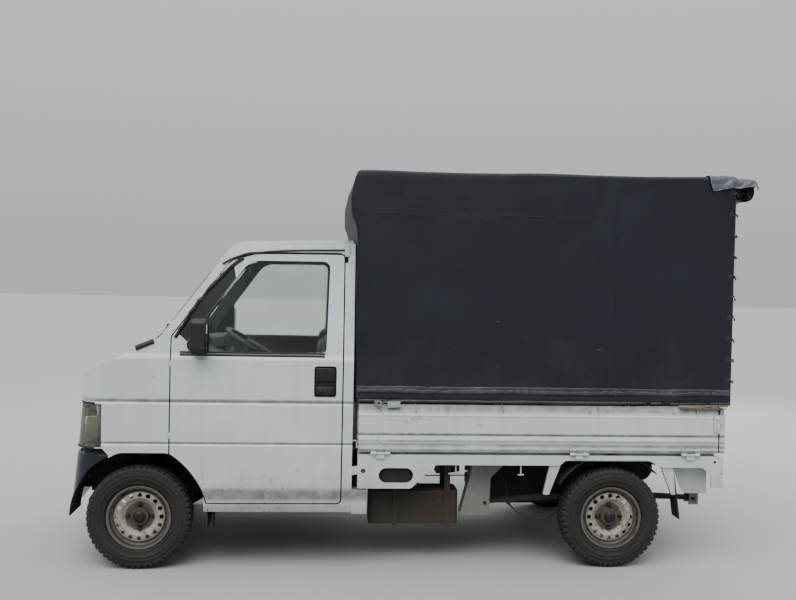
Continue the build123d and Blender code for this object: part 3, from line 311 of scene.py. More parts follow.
def build_fine_weave():
    """Threads in all three directions, of which any flat cloth face shows the two that lie in it."""
    tree, given, result, spot = effect("fine_weave", {"Threads": 900.0}, {"Height": "Float"})
    bend = node(tree, "TexNoise", {"Vector": spot, "Scale": 60.0, "Detail": 2.0}).outputs["Color"]
    bent = node(tree, "Mix", {0: 0.0006, 4: spot, 5: bend}, data_type="VECTOR").outputs[1]
    parts = node(tree, "SeparateXYZ", {0: bent}).outputs
    waves = [calc(tree, "SINE", calc(tree, "*", parts[i], given["Threads"])) for i in range(3)]
    total = calc(tree, "+", calc(tree, "+", waves[0], waves[1]), waves[2])
    plug(result, {"Height": calc(tree, "*+", total, 0.25, 0.5)})
    return tree


def build_painted_shade_line():
    """A thin uneven darker line at one height, painted as the shade in a crease pressed along a body."""
    tree, given, result, spot = effect("painted_shade_line", {"Height": 0.5, "Width": 0.006, "Amount": 0.6},
        {"Line": "Float"})
    height = node(tree, "SeparateXYZ", {0: spot}).outputs["Z"]
    drift = calc(tree, "*+", specks(tree, spot, 9.0, 3.0), 0.004, -0.002)
    gap = calc(tree, "ABSOLUTE", calc(tree, "-", calc(tree, "+", height, drift), given["Height"]))
    near = calc(tree, "-", 1.0, calc(tree, "/", gap, given["Width"]))
    patchy = between(tree, specks(tree, spot, 16.0, 5.0), 0.25, 0.60, 0.45, 1.0)
    line = calc(tree, "*", between(tree, near, 0.0, 0.6), patchy)
    plug(result, {"Line": calc(tree, "*", line, given["Amount"])})
    return tree


road_grime, settled_dust, worn_edges = build_road_grime(), build_settled_dust(), build_worn_edges()
rust_bloom, rain_streaks = build_rust_bloom(), build_rain_streaks()
fine_weave, painted_shade_line = build_fine_weave(), build_painted_shade_line()
print("effects:", sorted(g.name for g in bpy.data.node_groups))

# %% [markdown]
# ## Finishes
# Most finishes are one coat over metal, rubber or plastic that has aged in the same ways to different
# degrees, so a table with a row for each finish feeds one builder. The colours are what the cleaned
# surface shows.

# %% One builder for the coated finishes
GRIME = (0.098, 0.084, 0.066, 1)
DUST = (0.30, 0.275, 0.235, 1)


def coated(name, colour, second, rough, metallic, clear, bare, wear, grime, reach, dust, rust, size, lumps,
        depth):
    """A coat in two close tones, worn to a bare colour, with rust, grime, dust and a fine bump."""
    made, tree, shader, spot = new_finish(name)
    runs = place_effect(tree, rain_streaks, Spacing=30.0)
    base = tint(tree, runs["Tone"], (*colour, 1), (*second, 1))
    base = tint(tree, calc(tree, "*", runs["Streaks"], 0.35 * grime), base, (*(c * 0.62 for c in colour), 1))
    base = covered(tree, base, worn_edges, "Wear", (*bare, 1), Width=0.003, Amount=wear)[0]
    rusted = place_effect(tree, rust_bloom, Size=size, Amount=rust)
    rust_share = calc(tree, "*", rusted["Rust"], 1.0 if rust else 0.0)
    base = tint(tree, rust_share, base, rusted["Colour"])
    base, dirty = covered(tree, base, road_grime, "Grime", GRIME, Reach=reach, Amount=grime)
    base, dusty = covered(tree, base, settled_dust, "Dust", DUST, Amount=dust)
    cover = calc(tree, "max", calc(tree, "max", dirty, dusty), rust_share)
    grain = specks(tree, spot, lumps, 6.0)
    matt = calc(tree, "+", calc(tree, "*+", grain, 0.12, rough - 0.06), calc(tree, "*", cover, 0.45))
    if metallic:
        plug(shader, {"Metallic": calc(tree, "*", calc(tree, "-", 1.0, cover), metallic)})
    relief = calc(tree, "+", grain, calc(tree, "*", cover, 0.8))
    bump = node(tree, "Bump", {"Height": relief, "Strength": 0.5, "Distance": depth}).outputs[0]
    plug(shader, {"Base Color": base, "Roughness": matt, "Coat Weight": clear, "Coat Roughness": 0.12,
        "Normal": bump})
    return made


# name, colour, second tone, roughness, metallic, clear coat, bare colour, edge wear, grime, reach of grime,
# dust, rust, rust size, lumps per metre, depth of the bump
COATS = (
    # frame_steel and bare_steel are dark steel, made darker still as painted shade under the truck.
    ("frame_steel", (0.022, 0.022, 0.022), (0.034, 0.032, 0.030), 0.66, 0.0, 0.0, (0.08, 0.06, 0.05), 0.5,
     0.55, 0.45, 0.4, 0.35, 55, 180, 0.0010),
    ("hanger_paint", (0.33, 0.335, 0.31), (0.21, 0.205, 0.18), 0.66, 0.0, 0.0, (0.12, 0.09, 0.07), 0.7,
     0.40, 0.62, 0.5, 0.35, 60, 140, 0.0008),
    ("hood_steel", (0.17, 0.18, 0.19), (0.13, 0.14, 0.15), 0.45, 0.3, 0.0, (0.22, 0.14, 0.10), 0.7,
     0.15, 0.60, 0.4, 0.4, 70, 120, 0.0004),
    ("bare_steel", (0.050, 0.044, 0.040), (0.030, 0.027, 0.025), 0.70, 0.3, 0.0, (0.12, 0.09, 0.07), 0.5,
     0.55, 0.50, 0.4, 0.50, 42, 160, 0.0014),
    ("tank_steel", (0.085, 0.070, 0.058), (0.045, 0.039, 0.034), 0.76, 0.1, 0.0, (0.16, 0.12, 0.09), 0.6,
     0.45, 0.55, 0.7, 0.34, 30, 90, 0.0016),
    ("wheel_steel", (0.36, 0.33, 0.29), (0.22, 0.19, 0.16), 0.50, 0.35, 0.0, (0.42, 0.36, 0.30), 0.6,
     0.40, 0.42, 0.22, 0.55, 70, 170, 0.0008),
    ("hub_steel", (0.045, 0.042, 0.040), (0.026, 0.025, 0.024), 0.50, 0.5, 0.0, (0.22, 0.19, 0.16), 0.8,
     0.40, 0.30, 0.25, 0.35, 60, 150, 0.0008),
    ("zinc_steel", (0.42, 0.43, 0.43), (0.30, 0.31, 0.31), 0.36, 0.9, 0.0, (0.30, 0.18, 0.12), 0.6,
     0.25, 0.60, 0.2, 0.35, 80, 150, 0.0004),
    ("bumper_plastic", (0.008, 0.010, 0.022), (0.012, 0.014, 0.027), 0.20, 0.0, 0.35, (0.20, 0.21, 0.23), 0.4,
     0.50, 0.30, 0.20, 0.0, 30, 60, 0.0003),
    ("dark_trim", (0.018, 0.019, 0.021), (0.030, 0.031, 0.033), 0.50, 0.0, 0.0, (0.09, 0.09, 0.09), 0.3,
     0.35, 0.45, 0.30, 0.0, 30, 240, 0.0004),
    ("seal_rubber", (0.012, 0.012, 0.013), (0.022, 0.022, 0.023), 0.58, 0.0, 0.0, (0.06, 0.06, 0.06), 0.4,
     0.25, 0.45, 0.25, 0.0, 30, 300, 0.0004),
    ("interior_plastic", (0.060, 0.064, 0.070), (0.048, 0.051, 0.056), 0.56, 0.0, 0.0, (0.10, 0.10, 0.11),
     0.3, 0.10, 0.90, 0.45, 0.0, 30, 420, 0.0005),
    ("headliner", (0.42, 0.41, 0.38), (0.34, 0.33, 0.30), 0.80, 0.0, 0.0, (0.42, 0.41, 0.38), 0.0,
     0.10, 0.90, 0.10, 0.0, 30, 380, 0.0007),
    ("tyre_rubber", (0.014, 0.014, 0.014), (0.024, 0.023, 0.022), 0.74, 0.0, 0.0, (0.085, 0.076, 0.066), 0.8,
     0.42, 0.50, 0.30, 0.0, 30, 130, 0.0010),
    ("flap_rubber", (0.018, 0.018, 0.018), (0.030, 0.028, 0.026), 0.68, 0.0, 0.0, (0.06, 0.055, 0.05), 0.5,
     0.75, 0.60, 0.30, 0.0, 30, 90, 0.0010),
    ("bed_floor_paint", (0.36, 0.37, 0.36), (0.22, 0.22, 0.21), 0.58, 0.0, 0.0, (0.20, 0.15, 0.12), 0.8,
     0.25, 0.70, 0.75, 0.6, 34, 60, 0.0008),
    ("webbing", (0.040, 0.041, 0.044), (0.065, 0.066, 0.070), 0.82, 0.0, 0.0, (0.10, 0.10, 0.10), 0.4,
     0.15, 0.60, 0.40, 0.0, 30, 700, 0.0006),
    ("rope_fibre", (0.34, 0.33, 0.30), (0.20, 0.19, 0.17), 0.88, 0.0, 0.0, (0.50, 0.46, 0.36), 0.3,
     0.30, 0.80, 0.30, 0.0, 30, 500, 0.0008),
)
finish = {}


def finishes(build, *rows):
    """Makes a finish from each row of values, of which the first is its name."""
    finish.update({row[0]: build(*row) for row in rows})
    print(build.__name__, "makes", ", ".join(row[0] for row in rows))


finishes(coated, *COATS)

# %% [markdown]
# ## White paint
# Cab and load bed are the same aged white, a little blue-grey from the sky. It is glossy under its dirt, and
# its reflections show the slow waviness of thin sheet metal and its shallow dents. Darker lines along the
# pressed creases and bands are painted shade, and a pale brownish wash makes the paint darker towards the
# bottom.

# %% White paint
def white_paint(name, grime, reach, rust, dents, creases, knocks_at=()):
    """Thin glossy white over sheet metal, with darker lines of painted shade along its creases, each given as
    (height, width, amount).
    """
    made, tree, shader, spot = new_finish(name)
    runs = place_effect(tree, rain_streaks, Spacing=22.0)
    base = tint(tree, runs["Tone"], (0.60, 0.635, 0.655, 1), (0.52, 0.555, 0.575, 1))
    base = tint(tree, calc(tree, "*", runs["Streaks"], 0.30), base, (0.36, 0.36, 0.34, 1))
    # A pale brownish wash that thins out up to 1.35 m makes the paint darker towards the bottom.
    base, film = covered(tree, base, road_grime, "Grime", (0.40, 0.385, 0.345, 1), Reach=1.35, Amount=0.30)
    base, dirty = covered(tree, base, road_grime, "Grime", (0.17, 0.15, 0.115, 1), Reach=reach, Amount=grime)
    # Painted shade: a darker line along each crease and band.
    for height, width, amount in creases:
        base = covered(tree, base, painted_shade_line, "Line", (0.125, 0.130, 0.115, 1), Height=height, Width=width,
            Amount=amount)[0]
    chips = between(tree, node(tree, "TexVoronoi", {"Vector": spot, "Scale": 13.0}).outputs["Distance"],
        0.050, 0.034)
    chance = between(tree, specks(tree, spot, 2.7, 2.0), 0.54, 0.58)
    chips = calc(tree, "*", chips, chance)
    base = tint(tree, chips, base, (0.10, 0.075, 0.06, 1))
    base = covered(tree, base, worn_edges, "Wear", (0.21, 0.18, 0.155, 1), Width=0.0035, Amount=0.42)[0]
    rusted = place_effect(tree, rust_bloom, Size=48.0, Amount=rust)
    low = between(tree, node(tree, "SeparateXYZ", {0: spot}).outputs["Z"], 0.62, 0.30)
    low = calc(tree, "*", rusted["Rust"], low)
    base = tint(tree, low, base, rusted["Colour"])
    base, dusty = covered(tree, base, settled_dust, "Dust", (0.40, 0.37, 0.31, 1), Amount=0.34)
    cover = calc(tree, "max", calc(tree, "max", dirty, dusty), calc(tree, "max", low, film))
    matt = between(tree, cover, 0.0, 1.0, 0.27, 0.78)
    sheet_waves = specks(tree, spot, 5.5, 2.0, 0.4)
    knocks = node(tree, "TexVoronoi", {"Vector": spot, "Scale": 6.0, "Smoothness": 0.7}, feature="SMOOTH_F1")
    knocks = between(tree, knocks.outputs["Distance"], 0.0, 0.16)
    where = between(tree, specks(tree, spot, 1.9, 2.0), 0.47, 0.62)
    hollow = calc(tree, "*", calc(tree, "-", 1.0, knocks), where)
    relief = calc(tree, "-", calc(tree, "*", sheet_waves, 0.7), calc(tree, "*", hollow, dents))
    for place, width in knocks_at:
        gap = node(tree, "VectorMath", {0: spot, 1: place}, operation="DISTANCE").outputs["Value"]
        gap = calc(tree, "+", gap, calc(tree, "*+", specks(tree, spot, 45.0, 4.0), 0.044, -0.022))
        pressed_in = between(tree, gap, width, width * 0.1)
        relief = calc(tree, "-", relief, calc(tree, "*", pressed_in, 1.2))
    slow = node(tree, "Bump", {"Height": relief, "Strength": 0.8, "Distance": 0.006})
    peel = specks(tree, spot, 420.0, 2.0)
    fine = node(tree, "Bump", {"Height": peel, "Strength": 0.08, "Distance": 0.0005,
        "Normal": slow.outputs[0]}).outputs[0]
    plug(shader, {"Base Color": base, "Roughness": matt, "Coat Weight": 0.35, "Coat Roughness": 0.10,
        "Normal": fine})
    return made


# Darker lines painted as shade, as (height, width, amount): the cab's pressed creases, and a wide band along
# the door's foot.
CAB_SHADE_LINES = ((0.8525, 0.015, 0.70), (0.6415, 0.010, 0.66), (0.384, 0.040, 0.78), (1.0640, 0.004, 0.30))
# On the gate: a wide painted shade band under its top edge, where the hood's hem overhangs, then painted
# shade in the beads along its face.
BED_SHADE_LINES = ((0.8360, 0.040, 0.70), (0.6950, 0.009, 0.85), (0.6620, 0.007, 0.60), (0.6370, 0.009, 0.85),
    (0.6130, 0.009, 0.85))
KNOCKS = ((-1342, 753, 15), (-1403, 769, 18), (-1368, 772, 10), (-1712, 741, 9))
GATE_KNOCKS = [(at(ahead, 736, up), width * MM) for ahead, up, width in KNOCKS]
finishes(white_paint, ("white_paint", 0.80, 0.50, 0.45, 0.35, CAB_SHADE_LINES),
    ("bed_paint", 0.62, 0.52, 0.38, 1.0, BED_SHADE_LINES, GATE_KNOCKS))

# %% [markdown]
# ## Glass, lenses and mirror
# Window glass is clear with a green edge. A Light Path switch lets lamps through, because real glass
# would throw a full shadow in the renderer. The headlight covers have gone yellow and hazy.

# %% Glass, lenses and mirror
def clear_cover(name, colour, rough, through, haze):
    """A see-through finish with haze or dust, which lets lamps through."""
    made, tree, shader, spot = new_finish(name)
    smear = between(tree, specks(tree, spot, 7.0, 7.0), 0.35, 0.75)
    base = tint(tree, smear, (*colour, 1), (*(c * haze for c in colour), 1))
    matt = calc(tree, "*+", smear, 0.10, rough)
    plug(shader, {"Base Color": base, "Roughness": matt, "Transmission Weight": through, "IOR": 1.45})
    switch = node(tree, "LightPath").outputs["Is Shadow Ray"]
    open_air = node(tree, "BsdfTransparent", {"Color": (*colour, 1)}).outputs[0]
    mixed = node(tree, "MixShader", {0: switch, 1: shader.outputs[0], 2: open_air}).outputs[0]
    plug(tree.nodes["Material Output"], {"Surface": mixed})
    return made


finishes(clear_cover, ("glass", (0.93, 0.965, 0.95), 0.0, 1.0, 0.96),
    ("lamp_lens", (0.56, 0.57, 0.50), 0.10, 0.90, 0.66),
    ("tail_lens", (0.52, 0.020, 0.012), 0.10, 0.45, 0.75),
    ("amber_lens", (0.80, 0.26, 0.02), 0.10, 0.45, 0.80),
    ("clear_lens", (0.80, 0.80, 0.76), 0.10, 0.50, 0.85))


def bright_metal(name, colour, rough):
    """Polished metal or mirror glass with a faint film of dust."""
    made, tree, shader, spot = new_finish(name)
    film = between(tree, specks(tree, spot, 14.0, 6.0), 0.4, 0.8)
    base = tint(tree, film, (*colour, 1), (*(c * 0.6 for c in colour), 1))
    plug(shader, {"Base Color": base, "Roughness": calc(tree, "*+", film, 0.22, rough), "Metallic": 1.0})
    return made


finishes(bright_metal, ("mirror_glass", (0.80, 0.82, 0.83), 0.03), ("reflector", (0.72, 0.72, 0.70), 0.12))

# %% [markdown]
# ## Cloth
# The hood is vinyl-coated cloth: almost black, a little blue, satin, with the weave just telling
# through and dust along its foot. The rolled curtain is the same. The loose piece at the rear corner is
# a thinner grey plastic cloth, and the seats are woven.

# %% Cloth
def cloth(name, colour, faded, rough, threads, depth, dust_reach, sheen=0.0):
    """Cloth with a weave, faded patches and pale scuffs where it has rubbed."""
    made, tree, shader, spot = new_finish(name)
    patchy = between(tree, specks(tree, spot, 2.1, 7.0, 0.62), 0.30, 0.72)
    base = tint(tree, patchy, (*colour, 1), (*faded, 1))
    scuffs = between(tree, specks(tree, spot, 24.0, 8.0, 0.7), 0.62, 0.78)
    base = tint(tree, calc(tree, "*", scuffs, 0.30), base, (*(min(1, c * 3.2 + 0.02) for c in faded), 1))
    base, dirty = covered(tree, base, road_grime, "Grime", (0.105, 0.098, 0.085, 1), Reach=dust_reach,
        Amount=0.30)
    base = covered(tree, base, worn_edges, "Wear", (*(min(1, c * 4 + 0.04) for c in faded), 1), Width=0.004,
        Amount=0.55)[0]
    base, dusty = covered(tree, base, settled_dust, "Dust", (0.20, 0.19, 0.165, 1), Amount=0.35)
    cover = calc(tree, "max", dirty, dusty)
    matt = calc(tree, "+", calc(tree, "*+", patchy, 0.14, rough), calc(tree, "*", cover, 0.3))
    weave = place_effect(tree, fine_weave, Threads=threads)["Height"]
    limp = specks(tree, spot, 30.0, 4.0)
    soft = node(tree, "Bump", {"Height": limp, "Strength": 0.35, "Distance": 0.003})
    fine = node(tree, "Bump", {"Height": weave, "Strength": 0.5, "Distance": depth,
        "Normal": soft.outputs[0]})
    plug(shader, {"Base Color": base, "Roughness": matt, "Sheen Weight": sheen, "Normal": fine.outputs[0]})
    return made


finishes(cloth, ("canvas", (0.0112, 0.0138, 0.0205), (0.0165, 0.0200, 0.0280), 0.40, 2600.0, 0.00035, 1.15),
    ("canvas_scrim", (0.030, 0.032, 0.036), (0.050, 0.052, 0.056), 0.70, 1800.0, 0.0006, 1.0),
    # The hem's paler tones and bright rubbed edges are partly dust and partly painted highlight on its
    # crumpled folds.
    ("canvas_hem", (0.0150, 0.0175, 0.0230), (0.1100, 0.1150, 0.1230), 0.30, 2600.0, 0.00035, 1.05),
    ("grey_cover", (0.115, 0.120, 0.140), (0.175, 0.180, 0.200), 0.30, 3000.0, 0.0002, 0.1),
    ("seat_fabric", (0.040, 0.044, 0.052), (0.070, 0.074, 0.084), 0.78, 3600.0, 0.0007, 0.5, 0.3),
    ("seat_vinyl", (0.020, 0.021, 0.024), (0.034, 0.035, 0.038), 0.48, 5200.0, 0.0003, 0.5))

# %% [markdown]
# ## Timber
# A weathered batten is wedged under the hood's hem. Its grain runs along the truck, so the noise is
# drawn out along X.

# %% Timber
def weathered_timber(name):
    """Grey-brown softwood with long grain."""
    made, tree, shader, spot = new_finish(name)
    drawn = node(tree, "Mapping", {"Vector": spot, "Scale": (6, 150, 150)}).outputs[0]
    grain = between(tree, specks(tree, drawn, 1.0, 7.0), 0.32, 0.68)
    base = tint(tree, grain, (0.33, 0.25, 0.155, 1), (0.115, 0.085, 0.06, 1))
    bump = node(tree, "Bump", {"Height": grain, "Strength": 0.6, "Distance": 0.0012}).outputs[0]
    plug(shader, {"Base Color": base, "Roughness": between(tree, grain, 0, 1, 0.7, 0.9), "Normal": bump})
    return made


finishes(weathered_timber, ("timber",))

# %% [markdown]
# ## Finishes on the CAD pieces
# A CAD piece keeps its mesh and gets the finish of its material slot in the record. A few need one of
# their own within their slot, such as the tank, which is bare and rusty.

# %% Finishes on the CAD pieces
own_finish = {"load_bed": "bed_paint", "left_gate": "bed_paint", "right_gate": "bed_paint",
    "tailgate": "bed_paint", "fuel_tank": "tank_steel", "spring_hangers": "hanger_paint"}
for part in frame["record"]["subparts"]:
    piece = frame["nodes"][part["node"]]
    chosen = own_finish.get(part["node"], part["material_slot"])
    piece.data.materials.clear()
    piece.data.materials.append(finish[chosen])

# %% [markdown]
# ## The lining and the painted shade inside the cab
# The cab's CAD pieces are whole walls, so the faces that look into the cab get a second finish: a pale
# headliner above and dark plastic elsewhere. On the walls, which are white steel inside, that dark plastic is
# painted shade inside the cab.

# %% Lining and painted shade on the faces that look into the cab
cab_middle = at(-620, 0, 1050)
cab_rear_x = at(-1040, 0, 0).x
INNER_HALF, LEAN_IN, BELT_Z = 0.712, 0.155, 1.09
lined_and_shaded = ("roof", "side_frames", "left_door", "right_door", "rear_wall")
for name in lined_and_shaded:
    panel = frame["nodes"][name].data
    panel.materials.append(finish["headliner" if name == "roof" else "interior_plastic"])
    for face in panel.polygons:
        toward = cab_middle - face.center
        inward = face.normal.dot(Vector((toward.x * 0.6, toward.y, toward.z * 0.6)).normalized())
        inside = face.center.x > cab_rear_x and abs(face.center.y) < INNER_HALF - LEAN_IN * max(0.0,
            face.center.z - BELT_Z)
        if inward > 0.35 and inside:
            face.material_index = 1

# The edge of the wall all round a door's window is black as well, partly for the rubber channel of the glass
# and partly as painted shade in the opening.
window_middle = at(-560, 0, 1330)
for name, side in SIDES:
    panel = frame["nodes"][name + "_door"].data
    panel.materials.append(finish["dark_trim"])
    for face in panel.polygons:
        toward = window_middle - face.center
        toward.y = 0
        if 1.08 < face.center.z < 1.58 and abs(face.normal.y) < 0.45 and face.normal.dot(toward) > 0:
            face.material_index = 2
print("lined:", ", ".join(lined_and_shaded))

# %% [markdown]
# ## Modelling helpers
# A block with rounded edges, a lathe turning, a plate cut to an outline and a bar along a line make
# nearly every piece below. Each adds to a bmesh, so many small solids end in one piece. Sizes are in
# millimetres and places in metres.

# %% Modelling helpers
def tilt(angle, axis):
    """A turn about an axis by an angle in radians."""
    return Matrix.Rotation(angle, 3, axis)


TO_AXIS = {"x": tilt(pi / 2, "Y"), "y": tilt(-pi / 2, "X"), "z": Matrix.Identity(3)}


def verts_in(geometry):
    """The vertices among what an operator gave back."""
    return [g for g in geometry if isinstance(g, bmesh.types.BMVert)]


def with_links(verts):
    """Vertices, and the edges and faces that hang on them."""
    edges, faces = {e for v in verts for e in v.link_edges}, {f for v in verts for f in v.link_faces}
    return list(verts) + list(edges) + list(faces)


def settle(bm, before, place, turn=None):
    """Turns and moves whatever was added to bm since before, and gives those vertices."""
    added = [v for v in bm.verts if v not in before]
    if turn is not None:
        bmesh.ops.transform(bm, matrix=turn.to_4x4(), verts=added)
    bmesh.ops.translate(bm, vec=place, verts=added)
    return added


def rounded(bm, edges, radius, steps=2):
    """Bevels edges by a radius in millimetres."""
    bmesh.ops.bevel(bm, geom=edges, offset=radius * MM, segments=steps, affect="EDGES", profile=0.5,
        material=-1, clamp_overlap=True)


def block(bm, place, size, edge=1.5, steps=2, turn=None, taper=None):
    """A box of a size in millimetres with rounded edges. taper shrinks its upper end."""
    before = set(bm.verts)
    corners = bmesh.ops.create_cube(bm, size=MM)["verts"]
    bmesh.ops.scale(bm, vec=size, verts=corners)
    if taper:
        upper = [v for v in corners if v.co.z > 0]
        bmesh.ops.scale(bm, vec=(*taper, 1), verts=upper)
    if edge:
        rounded(bm, list({e for v in corners for e in v.link_edges}), edge, steps)
    return settle(bm, before, place, turn)


def turning(bm, profile, place, axis="z", steps=32, turn=None):
    """A lathe turning from (radius, height) pairs in millimetres."""
    before = set(bm.verts)
    line = [bm.verts.new((radius * MM, 0, height * MM)) for radius, height in profile]
    edges = [bm.edges.new(pair) for pair in zip(line, line[1:])]
    bmesh.ops.spin(bm, geom=line + edges, axis=(0, 0, 1), cent=(0, 0, 0), dvec=(0, 0, 0), angle=tau,
        steps=steps, use_merge=True, use_duplicate=False)
    bmesh.ops.remove_doubles(bm, verts=[v for v in bm.verts if v not in before], dist=1e-6)
    return settle(bm, before, place, turn if turn is not None else TO_AXIS[axis])


def plate(bm, outline, thickness, edge=0.0, steps=1):
    """A plate cut to an outline of points in metres, as thick as the vector thickness."""
    before = set(bm.verts)
    face = bm.faces.new([bm.verts.new(p) for p in outline])
    grown = bmesh.ops.extrude_face_region(bm, geom=[face], use_keep_orig=True)["geom"]
    bmesh.ops.translate(bm, vec=thickness, verts=verts_in(grown))
    if edge:
        rim = [e for f in grown if isinstance(f, bmesh.types.BMFace) for e in f.edges]
        rounded(bm, rim, edge, steps)
    return [v for v in bm.verts if v not in before]


def bar(name, points, radius, closed=False, smooth=True, round_steps=2, steps=6):
    """The curve of a round bar, with a radius in millimetres and points in metres."""
    line = bpy.data.curves.new(name, "CURVE")
    line.dimensions = "3D"
    line.bevel_depth = radius * MM
    line.bevel_resolution = round_steps
    line.resolution_u = steps
    line.use_fill_caps = True
    smooth = smooth and len(points) > 2
    run = line.splines.new("NURBS" if smooth else "POLY")
    run.points.add(len(points) - 1)
    for point, where in zip(run.points, points):
        point.co = (*where, 1)
    run.use_cyclic_u = closed
    if smooth:
        run.order_u = 3
        run.use_endpoint_u = not closed
    return line


def bead(bm, points, radius, **settings):
    """A bar or bead along points, added to a bmesh."""
    line = bar("line", points, radius, **settings)
    holder = bpy.data.objects.new("line", line)
    mesh = bpy.data.meshes.new_from_object(holder)
    before = set(bm.verts)
    bm.from_mesh(mesh)
    bpy.data.objects.remove(holder)
    bpy.data.meshes.remove(mesh)
    bpy.data.curves.remove(line)
    return [v for v in bm.verts if v not in before]


def other_side(bm, added=None):
    """Adds the mirror image, on the truck's right, of all of bm or only of what was added on the left."""
    copy = bmesh.ops.duplicate(bm, geom=with_links(added or bm.verts[:]))["geom"]
    bmesh.ops.scale(bm, vec=(1, -1, 1), verts=verts_in(copy))
    bmesh.ops.reverse_faces(bm, faces=[g for g in copy if isinstance(g, bmesh.types.BMFace)])


def keep(bm, name, material, slot=None, body="chassis", sharp=35, outward=True):
    """Closes a piece: merged, faces outward, smooth shaded, with a finish, riding on a body. The slot is not
    used.
    """
    bmesh.ops.remove_doubles(bm, verts=bm.verts, dist=1e-6)
    if outward:
        bmesh.ops.recalc_face_normals(bm, faces=bm.faces)
    slot = slot or material
    mesh = mesh_of(bm, name)
    mesh.materials.append(finish[material])
    mesh.shade_smooth()
    mesh.set_sharp_from_angle(angle=radians(sharp))
    piece = new_object(name, mesh)
    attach(piece, body)
    print(name, "faces", len(mesh.polygons))
    return piece


def give_wall(piece, thickness, offset):
    """Gives a sheet its thickness in metres: offset -1 is inward, 0 to both sides."""
    wall = piece.modifiers.new("wall", "SOLIDIFY")
    wall.thickness, wall.offset = thickness, offset


def line_of(*places):
    """Points in metres from places in millimetres."""
    return [at(*place) for place in places]


def ripple(place, size, seed=0.0):
    """A smooth bump between -1 and 1 that repeats nowhere. size is the length of a bump in metres."""
    return noise.noise(Vector(place) / size + Vector((seed, seed * 1.7, seed * 0.3)))

# %% [markdown]
# ## The canvas hood
# The hood is one sheet, like a box without its rear and bottom. It starts as a cube, planes cut it into
# squares of about 28 mm, and a function moves every vertex the way the cloth hangs: sagging between the
# hoops, drawn in between the rails, bulging forward over the cab's roof, with a lapped seam where two
# widths of cloth meet.

# %% The hood's outline and how its cloth hangs
hood_low, hood_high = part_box("tarpaulin")
hoops = [at(ahead, 0, 0).x for ahead in (-1132.0, -2038.5, -2945.0)]
seam_x = at(-2402, 0, 0).x
lap_z = 1.815
RAIL_Z = 1.461
HALF_BAY = 0.453
FALL_TO_FRONT = 0.020


def nearest_hoop(x):
    """0 at a hoop, 1 halfway between two."""
    gaps = sorted(abs(x - hoop) for hoop in hoops)
    return min(1.0, gaps[0] / HALF_BAY)


def hang(place):
    """Where the cloth at a place of the plain box hangs."""
    x, y, z = place
    half = hood_high.y
    top_z = hood_high.z - (x - hood_low.x) / (hood_high.x - hood_low.x) * FALL_TO_FRONT
    away = min(1.0, (top_z - z) / 0.12)
    on_top = 1.0 - max(0.0, away)
    free = nearest_hoop(x) ** 2 * (3 - 2 * nearest_hoop(x))
    moved = Vector(place)
    moved.z -= on_top * (0.016 * free * (1 - (y / half) ** 4) + 0.004 * free)
    moved.z += on_top * 0.0016 * ripple((x, y, 0), 0.16, 3.0)
    side = max(0.0, (abs(y) / half - 0.97) / 0.03)
    if side:
        foot, tall = (RAIL_Z, 0.56) if z > RAIL_Z else (0.871, 0.59)
        bay = sin(pi * min(1, max(0, (z - foot) / tall)))
        pull = -0.006 * free * abs(bay)
        slow = 0.0060 * ripple((x, 0, z), 0.42, 1.0) + 0.0030 * ripple((x, 0, z * 0.5), 0.17, 5.0)
        upright = 0.0022 * ripple((x, 0, z * 0.12), 0.065, 9.0) * min(1.0, max(0.0, (z - 0.9) / 0.2))
        low = max(0.0, 1 - (z - hood_low.z) / 0.30)
        gather = 0.0065 * low * ripple((x, 0, z * 0.30), 0.075, 13.0)
        corner = max(0.0, 1 - (hood_high.x - x) / 0.22) * max(0.0, 1 - abs(z - 1.15) / 0.5)
        crease = 0.006 * corner * ripple((x * 1.6, 0, z * 0.45), 0.06, 21.0)
        lapped = 0.0014 * (x < seam_x) + 0.0014 * (z > lap_z and x > seam_x + 0.10)
        out = pull + slow + upright + gather + crease + lapped
        moved.y += copysign(out * side, y)
    front = max(0.0, 1 - (hood_high.x - x) / 0.045)
    if front:
        above = max(0.0, min(1.0, (z - 1.700) / 0.10))
        belly = sin(pi * min(1, max(0, (z - 1.69) / 0.345))) ** 0.8 if z > 1.69 else 0
        swell = 0.040 * belly * above * (0.75 + 0.25 * ripple((y, z, 0), 0.2, 2.0))
        swell += 0.004 * above * ripple((0, y * 0.5, z), 0.055, 4.0)
        moved.x += front * swell
    return moved

# %% Hood sheet
hood = bmesh.new()
bmesh.ops.create_cube(hood, size=1)
bmesh.ops.scale(hood, vec=hood_high - hood_low, verts=hood.verts)
bmesh.ops.translate(hood, vec=(hood_high + hood_low) / 2, verts=hood.verts)
for corner in hood.verts:
    if corner.co.z > 1.5 and corner.co.x > 0:
        corner.co.z -= FALL_TO_FRONT
openings = [f for f in hood.faces if f.normal.z < -0.9 or f.normal.x < -0.9]
bmesh.ops.delete(hood, geom=openings, context="FACES")
bends = [e for e in hood.edges if len(e.link_faces) == 2]
rounded(hood, bends, 15, 3)
cut_planes = []
for axis in range(3):
    count = round((hood_high[axis] - hood_low[axis]) / 0.028)
    for step in range(1, count):
        cut_planes.append((axis, hood_low[axis] + (hood_high[axis] - hood_low[axis]) * step / count))
cut_planes += [(0, seam_x), (0, seam_x - 0.004), (0, seam_x + 0.100), (0, seam_x + 0.104), (2, lap_z),
    (2, lap_z + 0.004)]
for axis, where in cut_planes:
    normal = Vector([1.0 if i == axis else 0.0 for i in range(3)])
    bmesh.ops.bisect_plane(hood, geom=hood.verts[:] + hood.edges[:] + hood.faces[:],
        plane_co=normal * where, plane_no=normal, dist=0.0006)
rear_edge = [e for e in hood.edges if e.is_boundary and all(abs(v.co.x - hood_low.x) < 1e-4 for v in e.verts)]
returned = bmesh.ops.extrude_edge_only(hood, edges=rear_edge)["geom"]
